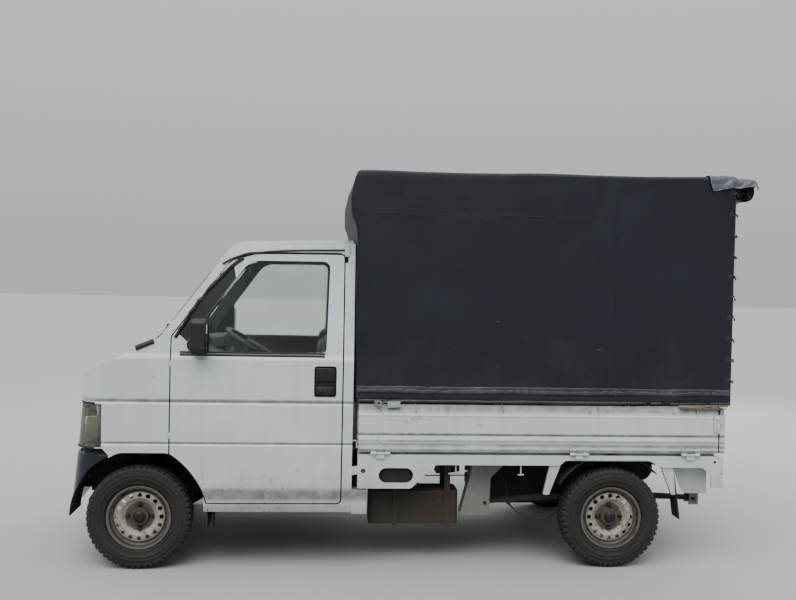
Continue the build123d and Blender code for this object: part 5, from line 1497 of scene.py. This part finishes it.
def mirror_details(bm):
    """The clamp, the screws and the rim that holds the mirror's glass."""
    turning(bm, ((0, -9), (9, -9), (9, 7), (6, 10), (0, 10)), at(-290, 762, 1158), "z", 18)
    frame_line = round_corners(((736, 1098), (736, 1262), (854, 1262), (854, 1098)), (22,) * 4)
    bead(bm, [at(-330.5, p.x, p.y) for p in frame_line], 3.0, closed=True, smooth=False, round_steps=1)
    for ahead, up in ((-205, 1150), (-262, 1120), (-318, 1120)):
        spot = on_side("left_mirror", ahead, up, 1.0)
        if spot:
            turning(bm, ((0, 3), (4, 2.4), (6, 0.5), (6, -2), (0, -2)), spot, "y", 14)


def mirror_pane(bm):
    """The mirror's own glass, facing back."""
    outline = round_corners(((740, 1102), (740, 1258), (850, 1258), (850, 1102)), (20,) * 4)
    plate(bm, [at(-330.2, p.x, p.y) for p in outline], (-1.6 * MM, 0, 0))


both_sides("door_handle", "_door", "dark_trim", "dark_trim", door_handle)
both_sides("mirror_details", "_door", "dark_trim", "dark_trim", mirror_details)
both_sides("mirror_pane", "_door", "mirror_glass", "glass", mirror_pane)

# %% [markdown]
# ## Wipers, cowl and service lid
# Both wipers park pointing to the truck's left, so the near blade's end shows over the nose. Under
# them the cowl takes in air through a row of louvres.

# %% Wipers, cowl and service lid
GLASS_HALF = 575


def on_glass(y, up, lift):
    """A place over the windscreen's foot."""
    return skin("cab_glass", at(900, max(-GLASS_HALF, min(GLASS_HALF, y)), up), (-1, 0, 0), lift)


wipers = bmesh.new()
for pivot_y, tip_y in ((70, 545), (-470, 5)):
    blade = [on_glass(y, 1199, 7) for y in [*range(pivot_y + 30, tip_y, 60), tip_y]]
    bead(wipers, blade, 5.5)
    lip = [p + Vector((-0.009, 0, -0.004)) for p in blade]
    bead(wipers, lip, 3.0, round_steps=1)
    pivot = skin("cowl", at(-60, pivot_y, 1500), (0, 0, -1))
    turning(wipers, ((0, -6), (17, -6), (17, 8), (13, 16), (8, 22), (0, 22)), pivot, "z", 20)
    middle_y = (pivot_y + tip_y) / 2 + 20
    arm = [pivot + Vector((0, 0, 0.016)), on_glass(pivot_y + 60, 1192, 16), on_glass(middle_y, 1202, 15)]
    bead(wipers, arm, 4.5)
    block(wipers, on_glass(middle_y, 1202, 12), (14, 40, 12), 4, 2)
keep(wipers, "wipers", "dark_trim")

louvres = bmesh.new()
for step in range(27):
    y = -546 + step * 42
    ends = [skin("cowl", at(ahead, y, 1500), (0, 0, -1), 1.0) for ahead in (-4, -34)]
    if all(ends):
        bead(louvres, ends, 4.0, smooth=False, round_steps=1)
keep(louvres, "cowl_louvres", "seal_rubber", "dark_trim")


def cowl_cap(bm):
    """The black oval cap at the cowl's end, over the edge of the nose."""
    route = []
    for ahead, up in ((22, 1112), (-22, 1131), (-64, 1148)):
        hits = [on_side(name, ahead, up, 1.0) for name in ("fenders", "cowl", "side_frames", "front_lid")]
        route.append(max((h for h in hits if h), key=lambda h: h.y, default=at(ahead, 600, up)))
    bead(bm, route, 13)


both_sides("cowl_cap", "chassis", "dark_trim", "dark_trim", cowl_cap)

lid_parts = bmesh.new()
latch = skin("front_lid", at(900, 0, 905), (-1, 0, 0), 4.0)
block(lid_parts, latch, (16, 110, 22), 6, 2)
for y in (-430, 430):
    block(lid_parts, skin("front_lid", at(900, y, 893), (-1, 0, 0), 1.0), (8, 40, 8), 3, 2)
keep(lid_parts, "lid_latch", "dark_trim", body="front_lid")

# %% [markdown]
# ## Headlights
# The outer faces of the CAD lamp are kept and given the wall of a moulded lens. Behind it are a
# reflector with its bulb, a smaller bowl for the indicator, and the housing.

# %% Headlights
lens = bmesh.new()
lens.from_mesh(frame["nodes"]["headlights"].data)
bmesh.ops.remove_doubles(lens, verts=lens.verts, dist=1e-5)
lens.normal_update()
hidden = []
for face in lens.faces:
    outward = face.normal.y * copysign(1, face.calc_center_median().y)
    if face.normal.x < 0.12 and outward < 0.3 or abs(face.normal.z) > 0.8:
        hidden.append(face)
bmesh.ops.delete(lens, geom=hidden, context="FACES")
lenses = keep(lens, "headlight_lenses", "lamp_lens", sharp=40, outward=False)
give_wall(lenses, 0.003, -1)
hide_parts("headlights")

bowls = bmesh.new()
BOWL = ((0, -60), (20, -58), (45, -46), (62, -28), (74, 0), (78, 0), (66, -31), (48, -50), (21, -63),
    (0, -65))
SMALL_BOWL = ((0, -30), (14, -27), (26, -14), (32, 0), (35, 0), (28, -16), (15, -31), (0, -34))
turning(bowls, BOWL, at(262, 612, 722), "x", 40)
turning(bowls, SMALL_BOWL, at(282, 512, 700), "x", 28)
block(bowls, at(236, 704, 712), (60, 14, 120), 10, 2)
other_side(bowls)
keep(bowls, "headlight_reflectors", "reflector", "lamp_lens")

housings = bmesh.new()
block(housings, at(190, 600, 726), (8, 252, 206), 3, 1)
block(housings, at(226, 600, 828), (76, 250, 6), 1, 1)
block(housings, at(226, 600, 623), (76, 250, 6), 1, 1)
turning(housings, ((0, -6), (24, -6), (24, 4), (20, 10), (0, 10)), at(196, 612, 722), "x", 20)
other_side(housings)
keep(housings, "headlight_housings", "hood_steel", "lamp_lens")

bulbs = bmesh.new()
turning(bulbs, ((0, -14), (7, -14), (8, 0), (11, 10), (11, 22), (6, 29), (0, 31)), at(216, 612, 722), "x", 20)
turning(bulbs, ((0, -8), (5, -8), (8, 2), (8, 10), (0, 17)), at(260, 512, 700), "x", 16)
other_side(bulbs)
keep(bulbs, "headlight_bulbs", "clear_lens", "lamp_lens")

gaskets = bmesh.new()
for up, radius, lift in ((616, 4.5, 0.0), (836, 6.0, -2.0)):
    route = []
    for step in range(13):
        angle = radians(step * 7.5)
        out = Vector((cos(angle), sin(angle), 0))
        spot = skin("headlights", at(215, 606, up - copysign(4, up - 700)) + out * 0.4, -out, lift)
        if spot:
            route.append(Vector((spot.x, spot.y, up * MM)))
    inboard = skin("headlights", at(900, 475, up - copysign(4, up - 700)), (-1, 0, 0), lift)
    if inboard:
        route.insert(0, Vector((inboard.x, inboard.y, up * MM)))
    if len(route) > 2:
        other_side(gaskets, bead(gaskets, route, radius))
keep(gaskets, "headlight_gaskets", "seal_rubber", "dark_trim")

# %% [markdown]
# ## Bumper
# Three slats cross the air opening in the bumper, and four bolt heads show above it.

# %% Bumper slats and bolts
slats = bmesh.new()
for up in (350, 370, 390):
    block(slats, at(360, 0, up), (14, 566, 7), 2, 2)
for y in (-190, 0, 190):
    block(slats, at(352, y, 370), (10, 8, 86), 2, 1)
for y in (-640, -330, 330, 640):
    spot = skin("front_bumper", at(900, y, 588), (-1, 0, 0))
    turning(slats, ((0, 4), (7, 3.4), (10, 0), (10, -3), (0, -3)), spot, "x", 18)
keep(slats, "bumper_slats", "dark_trim", "bumper_plastic")

# %% [markdown]
# ## Inside the cab
# Through the windows one sees the dashboard with its instruments, the steering column, levers, pedals,
# door linings, visors and belts: plain moulded parts, made of blocks, turnings and bars.

# %% Dashboard parts
DASH_LEAN = tilt(-0.255, "Y")
dash = bmesh.new()
block(dash, at(-262, -345, 1086), (150, 322, 76), 18, 4, tilt(0.10, "Y"))
block(dash, at(-350, 0, 925), (16, 214, 156), 8, 3, DASH_LEAN)
block(dash, at(-338, 385, 895), (12, 360, 130), 10, 3, DASH_LEAN)
block(dash, at(-346, 385, 962), (14, 300, 12), 5, 3, DASH_LEAN)
for y in (-575, -170, 170, 575):
    block(dash, at(-357, y, 985), (8, 96, 46), 5, 2, DASH_LEAN)
bead(dash, line_of((-330, 300, 1040), (-392, 330, 1030), (-396, 400, 1028), (-392, 470, 1030),
    (-330, 500, 1040)), 9)
keep(dash, "dashboard_parts", "interior_plastic")

vents = bmesh.new()
for y in (-575, -170, 170, 575):
    for step in range(5):
        block(vents, at(-361.5, y, 969 + step * 8), (6, 84, 2.6), 1, 1, tilt(0.3, "Y"))
for y in (-62, 0, 62):
    turning(vents, ((0, -4), (19, -4), (18, 12), (14, 16), (0, 16)), at(-366, y, 905),
        turn=tilt(-pi / 2 - 0.255, "Y"), steps=24)
keep(vents, "vent_slats_and_knobs", "dark_trim")

dials = bmesh.new()
for y in (-400, -290):
    turning(dials, ((0, 1), (44, 1), (46, 4), (49, 4), (50, 0), (0, 0)), at(-340, y, 1082),
        turn=tilt(-pi / 2, "Y"), steps=36)
    block(dials, at(-342, y, 1094), (1.6, 2.4, 30), 0.4, 1)
    for step in range(9):
        angle = radians(-30 + step * 30)
        block(dials, at(-342, y + 36 * cos(angle), 1082 + 36 * sin(angle)), (1.4, 2.2, 2.2), 0.3, 1)
keep(dials, "instrument_dials", "hood_steel", "interior_plastic")

# %% Steering column, stalks, levers and pedals
column = Vector((-0.53, 0, 0.848)).normalized()
column_turn = column.to_track_quat("Z", "Y").to_matrix()
wheel_middle = at(-490, -345, 1075)
controls = bmesh.new()
turning(controls, ((14, -230), (44, -220), (40, -90), (34, -62), (14, -60), (14, -230)), wheel_middle,
    turn=column_turn, steps=28)
for sign in (1, -1):
    root = wheel_middle - column * 0.085
    reach = Vector((0, sign, 0))
    bead(controls, [root + reach * 0.030, root + reach * 0.090 + column * 0.006,
        root + reach * 0.158 + column * 0.012], 5.5)
    bead(controls, [root + reach * 0.120 + column * 0.009, root + reach * 0.168 + column * 0.012], 9.0)
bead(controls, line_of((-470, -25, 418), (-500, -30, 560), (-545, -36, 716)), 6.5)
turning(controls, ((0, -14), (13, -12), (20, 0), (21, 12), (15, 24), (0, 28)), at(-548, -36, 730), "z", 24)
turning(controls, ((64, 0), (50, 12), (34, 40), (22, 52), (14, 78), (0, 80)), at(-470, -25, 404), "z", 24)
bead(controls, line_of((-700, 20, 430), (-600, 20, 520), (-500, 20, 590)), 9)
bead(controls, line_of((-570, 20, 541), (-490, 20, 597)), 15)
for y, up in ((-245, 500), (-345, 545), (-440, 545)):
    bead(controls, line_of((-116, y, 760), (-150, y, 660), (-205, y, up + 10)), 7)
    block(controls, at(-214, y, up), (12, 52, 66), 5, 2, tilt(-0.5, "Y"))
keep(controls, "column_levers_and_pedals", "dark_trim")

pad = bmesh.new()
turning(pad, ((0, 4), (30, 3), (46, -3), (50, -12), (46, -20), (0, -20)), wheel_middle, turn=column_turn,
    steps=36)
keep(pad, "horn_pad", "interior_plastic", body="steering_wheel")

# %% Door linings
def door_lining(bm):
    """The panel on the inside of a door, with arm rest, winder, catch and pull."""
    inner = skin("left_door", at(-700, 300, 760), (0, 1, 0)).y / MM
    outline = round_corners(((-400, 430), (-400, 1035), (-985, 1035), (-985, 430)), (60, 30, 30, 50))
    plate(bm, [at(p.x, inner - 0.6, p.y) for p in outline], (0, -6 * MM, 0), 2.0, 2)
    block(bm, at(-650, inner - 28, 868), (270, 48, 44), 14, 3)
    block(bm, at(-650, inner - 8, 620), (420, 10, 150), 8, 3)
    bead(bm, line_of((-640, inner - 8, 955), (-660, inner - 40, 955), (-760, inner - 40, 955),
        (-780, inner - 8, 955)), 9)
    turning(bm, ((0, -4), (24, -4), (22, 8), (14, 14), (0, 14)), at(-480, inner - 10, 760),
        turn=tilt(pi / 2, "X"), steps=24)
    bead(bm, line_of((-480, inner - 20, 760), (-430, inner - 26, 700)), 7)
    turning(bm, ((0, -3), (11, -3), (13, 8), (11, 24), (0, 26)), at(-430, inner - 28, 700),
        turn=tilt(pi / 2, "X"), steps=20)
    block(bm, at(-880, inner - 12, 930), (96, 14, 46), 8, 2)


both_sides("door_lining", "_door", "interior_plastic", "interior_plastic", door_lining)

# %% Visors, mirror, grab handle and belts
visors = bmesh.new()
block(visors, at(-455, 330, 1596), (16, 420, 128), 7, 3, tilt(-0.95, "Y"))
block(visors, at(-700, 596, 1606), (560, 12, 64), 5, 2, tilt(-0.12, "X"))
other_side(visors)
keep(visors, "visors_and_rails", "headliner", "interior_plastic")
roof_parts = bmesh.new()
bead(roof_parts, line_of((-440, 0, 1622), (-450, 0, 1580), (-462, 0, 1552)), 6)
block(roof_parts, at(-468, 0, 1530), (18, 196, 52), 8, 3, tilt(0.18, "Y"))
made = bead(roof_parts, line_of((-520, 618, 1600), (-530, 596, 1572), (-640, 590, 1566), (-750, 596, 1572),
    (-760, 618, 1600)), 8)
made += block(roof_parts, at(-1000, 640, 1440), (26, 26, 60), 6, 2)
made += block(roof_parts, at(-1002, 640, 470), (44, 40, 110), 8, 2)
other_side(roof_parts, made)
keep(roof_parts, "roof_mirror_and_handles", "dark_trim")
belts = bmesh.new()
made = []
for low, high in (((-1000, 622, 480), (-994, 628, 1440)), ((-994, 612, 500), (-988, 620, 1432))):
    start, end = at(*low), at(*high)
    lean = (end - start).to_track_quat("Z", "X").to_matrix()
    made += block(belts, (start + end) / 2, (1.8, 46, (end - start).length / MM), 0.5, 1, lean)
made += block(belts, at(-986, 616, 760), (12, 54, 70), 5, 2)
other_side(belts, made)
keep(belts, "seat_belts", "webbing", "interior_plastic")

RIB_PITCH = 40
mats = bmesh.new()
made = []
for heel, toe, middle_y, width in ((-472, -364, 345, 430), (-338, -205, 252, 236)):
    start, end = [skin("cab_floor", at(ahead, middle_y, 900), (0, 0, -1), 3.0) for ahead in (heel, toe)]
    lean = (end - start).to_track_quat("X", "Z").to_matrix()
    long = (end - start).length / MM
    made += block(mats, (start + end) / 2, (long, width, 5), 2, 1, lean)
    rib_count = round(width / RIB_PITCH)
    for step in range(1, rib_count):
        across = (step - rib_count / 2) * RIB_PITCH
        spot = (start + end) / 2 + lean @ Vector((0, across * MM, 3.5 * MM))
        made += block(mats, spot, (long - 30, 8, 4), 1.5, 1, lean)
print("floor mats lie at", [round(v.co.z, 3) for v in (made[0], made[-1])])
other_side(mats, made)
keep(mats, "floor_mats", "flap_rubber", "interior_plastic")

# %% [markdown]
# ## Load bed fittings
# Corner latches hold the gates at their rear ends. A worn rope is lashed round the near gate's front
# hook, and a split batten is wedged under the hood's hem. The deck is ribbed.

# %% Gate latches
def gate_latch(bm):
    """The toggle at a side gate's rear end, with its plate and pull."""
    block(bm, at(tail + 46, 741, 762), (34, 5, 92), 2, 2)
    block(bm, at(tail + 40, 746, 744), (16, 9, 66), 4, 2)
    turning(bm, ((0, -5), (9, -5), (9, 4), (7, 7), (0, 7)), at(tail + 44, 745, 786), "y", 18)
    bead(bm, line_of((tail + 44, 748, 770), (tail + 30, 752, 762), (tail + 8, 750, 760)), 4)


both_sides("gate_latch", "_gate", "bed_paint", "white_paint", gate_latch)


def gate_hooks(bm):
    """The four small hooks along a gate's top band that the hood's rope goes under."""
    for ahead in (-1383, -1833, -2283, -2733):
        foot, lip = on_side("left_gate", ahead, 812), on_side("left_gate", ahead, 842)
        bead(bm, [lip, lip.lerp(foot, 0.5) + Vector((0, 0.009, 0)), foot + Vector((0, 0.007, -0.004)),
            foot + Vector((0, 0.013, 0.006))], 3.6)
        block(bm, lip + Vector((0.006, 0.001, 0)), (9, 4, 16), 1, 1)


both_sides("gate_hooks", "_gate", "bed_paint", "white_paint", gate_hooks)


def skirt_bolts(bm):
    """Bolts and a drain ring on the bed's skirt."""
    for ahead, up, radius in ((-1119, 506, 11), (-2994, 499, 10), (-2960, 560, 6)):
        spot = on_side("load_bed", ahead, up)
        if spot:
            ring = ((radius * 0.45, -3), (radius * 0.5, 1), (radius * 0.8, 3), (radius, 2),
                (radius + 1, -1), (radius, -3), (radius * 0.45, -3))
            turning(bm, ring, spot, "y", 18)
            turning(bm, ((0, 1.2), (radius * 0.4, 1.0), (radius * 0.5, -3), (0, -3)), spot, "y", 14)


both_sides("skirt_bolts", "chassis", "hub_steel", "white_paint", skirt_bolts)
rear_latches = bmesh.new()
low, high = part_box("tailgate")
made = block(rear_latches, Vector((low.x - 0.003, 0.640, at(0, 0, 806).z)), (6, 70, 34), 2, 2)
made += bead(rear_latches, [Vector((low.x - 0.004, 0.610, 0.806)), Vector((low.x - 0.016, 0.640, 0.804)),
    Vector((low.x - 0.004, 0.676, 0.806))], 4)
other_side(rear_latches, made)
for step in range(3):
    block(rear_latches, Vector((low.x - 0.002, -0.45 + step * 0.45, 0.640)), (5, 60, 10), 2, 1)
keep(rear_latches, "tailgate_latches", "zinc_steel", "white_paint", "tailgate")

# %% Rope, pale block and batten at the near gate
lashing = bmesh.new()
knot = []
for step in range(34):
    angle = step * 0.9
    knot.append(at(-1196 + 15 * cos(angle) + step * 0.4, 746 + 5 * sin(angle * 1.3), 852 + 13 * sin(angle)))
bead(lashing, knot, 3.2, round_steps=1)
bead(lashing, line_of((-1170, 744, 868), (-1182, 748, 850), (-1196, 747, 838), (-1204, 745, 816)), 3.0)
bead(lashing, line_of((-1210, 746, 856), (-1260, 747, 866), (-1304, 745, 862)), 2.6)
keep(lashing, "rope_lashing", "rope_fibre", "canvas")
pale_block = bmesh.new()
block(pale_block, at(-1268, 743, 847), (66, 9, 32), 3, 2, tilt(0.03, "Y"))
keep(pale_block, "pale_packing_block", "headliner", "canvas")
batten = bmesh.new()
for up, thick, length in ((855, 9, 262), (841, 6, 246)):
    added = block(batten, at(-2884, 741, up), (length, 13, thick), 1.5, 1)
    for v in added:
        v.co.z += 0.002 * ripple(v.co, 0.03, up)
keep(batten, "split_batten", "timber", "canvas")

# %% Deck ribs and boards
ribs = bmesh.new()
for step in range(13):
    y = -600 + step * 100
    block(ribs, at((tail - 1105) / 2, y, 656.5), (-1195 - tail, 26, 7), 3, 2)
keep(ribs, "deck_ribs", "bed_floor_paint", "white_paint")

# %% [markdown]
# ## Tail lamps
# Beside the red lens of the CAD lamp lie an amber and a clear field, in a black rim with two screws.

# %% Tail lamps
lamp_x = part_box("tail_lamps")[0].x
for colour, y, wide in (("amber", 0.654, 58), ("clear", 0.520, 50)):
    fields = bmesh.new()
    other_side(fields, block(fields, Vector((lamp_x - 0.001, y, at(0, 0, 545).z)), (5, wide, 68), 2, 2))
    keep(fields, "tail_lamp_" + colour, colour + "_lens", "tail_lens")
rims = bmesh.new()
outline = round_corners(((488, 503), (488, 587), (692, 587), (692, 503)), (8,) * 4)
made = bead(rims, [Vector((lamp_x + 0.004, p.x * MM, p.y * MM)) for p in outline], 4, closed=True,
    smooth=False, round_steps=1)
for y in (0.548, 0.622):
    made += turning(rims, ((0, 2), (3, 1.6), (4, 0), (4, -2), (0, -2)), Vector((lamp_x - 0.0015, y, 0.545)),
        turn=tilt(-pi / 2, "Y"), steps=12)
other_side(rims, made)
keep(rims, "tail_lamp_rims", "dark_trim")

# %% [markdown]
# ## Under the truck
# Splash guards close the rear wheel arches in black rubber, which partly stands in for the shade deep in the
# arches, and a dark panel behind the oval hole in the bed's skirt is painted shade from under the truck. The
# axle hangs on bolted springs with dampers, and a brake cable sags between its clips ahead of the rear axle.

# %% Rear splash guards, and a dark panel for the shade behind the oval hole
guards = bmesh.new()
ARCH, WALL = 331, 3
around = []
for radius in (ARCH, ARCH - WALL):
    angles = [radians(32 + step * 104 / 20) for step in range(21)]
    line = [at(rear + radius * cos(a), 578, 262 + radius * sin(a)) for a in angles]
    around += line if radius == ARCH else line[::-1]
made = plate(guards, around, (0, 0.138, 0))
wall_line = [at(rear + 326 * cos(radians(a)), 576, 262 + 326 * sin(radians(a))) for a in range(32, 137, 8)]
made += plate(guards, wall_line, (0, 0.003, 0))
# A dark rubber panel behind the skirt's oval hole and a ledge above it: painted shade where the view runs
# under the truck.
made += block(guards, at(-1286, 700, 484), (236, 4, 124), 2, 1)
made += block(guards, at(-1286, 712, 544), (236, 24, 4), 1, 1)
other_side(guards, made)
keep(guards, "rear_splash_guards_and_shade_panel", "flap_rubber", "frame_steel")


LINER_OUT, LINER_IN = 343, 339


def arch_liner(bm):
    """Black rubber that carries a front wheel arch on down, ahead of the wheel and behind it."""
    for first, last, inner, outer in ((1, 40, 470, 690), (158, 191, 500, 716)):
        outline = []
        for radius in (LINER_OUT, LINER_IN):
            line = [(radius * cos(a), radius * sin(a))
                for a in [radians(first + (last - first) * step / 8) for step in range(9)]]
            outline += line if radius == LINER_OUT else line[::-1]
        plate(bm, [at(x, inner, 260 + z) for x, z in outline], (0, (outer - inner) * MM, 0))


both_sides("front_arch_liners", "chassis", "flap_rubber", "frame_steel", arch_liner)

# %% Spring bolts, shackles, dampers and axle pipes
springs = bmesh.new()
spring_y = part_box("leaf_springs")[1].y / MM - 30
made = []
for ahead in (rear - 42, rear + 42):
    for side_y in (spring_y - 33, spring_y + 33):
        made += bead(springs, line_of((ahead, side_y, 236), (ahead, side_y, 366)), 5.5, smooth=False)
        made += turning(springs, ((0, 0), (10, 0), (10, 9), (6, 10), (6, 16), (0, 16)),
            at(ahead, side_y, 360), "z", 6)
made += block(springs, at(rear, spring_y, 238), (116, 92, 10), 4, 1)
made += bead(springs, line_of((rear - 60, spring_y - 70, 250), (rear - 100, spring_y - 80, 430)), 19,
    smooth=False)
made += bead(springs, line_of((rear - 92, spring_y - 78, 400), (rear - 132, spring_y - 86, 570)), 26,
    smooth=False)
other_side(springs, made)
keep(springs, "spring_bolts_and_dampers", "bare_steel")

pipes = bmesh.new()
bead(pipes, line_of((rear + 34, -520, 300), (rear + 44, -300, 306), (rear + 44, 0, 330),
    (rear + 44, 300, 306), (rear + 34, 520, 300)), 3.2)
bead(pipes, line_of((rear + 44, 30, 330), (rear + 160, 40, 380), (rear + 420, 330, 400), (-1100, 330, 400)),
    3.2)
bead(pipes, line_of((-200, -300, 400), (-900, -322, 392), (-1700, -322, 392), (rear + 330, -322, 392)), 5)
keep(pipes, "brake_pipes", "hub_steel", "bare_steel")

# %% Sagging brake cable
cable_route = [(-1905, 560, 300), (-1922, 580, 285), (-1950, 600, 258), (-2000, 606, 236),
    (-2060, 606, 228), (-2120, 600, 240), (-2170, 580, 266), (-2200, 560, 286)]
cable_line = bar("brake_cable", line_of(*cable_route), 4.2, round_steps=3, steps=12)
plain_line = cable_line.copy()
plain_line.bevel_depth = 0
measuring = bpy.data.objects.new("measuring", plain_line)
followed = bpy.data.meshes.new_from_object(measuring)
bpy.data.objects.remove(measuring)
brake_cable = new_object("brake_cable", cable_line)
cable_line.materials.append(finish["seal_rubber"])
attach(brake_cable, "chassis")
clips = bmesh.new()
for place in (cable_route[0], cable_route[-1]):
    block(clips, at(*place) + Vector((0, -0.006, 0.008)), (18, 22, 22), 3, 2)
    bead(clips, [at(*place) + Vector((0, -0.010, 0.012)), at(place[0], place[1] - 60, place[2] + 60),
        at(place[0], place[1] - 80, place[2] + 100)], 5)
keep(clips, "brake_cable_clips", "bare_steel")
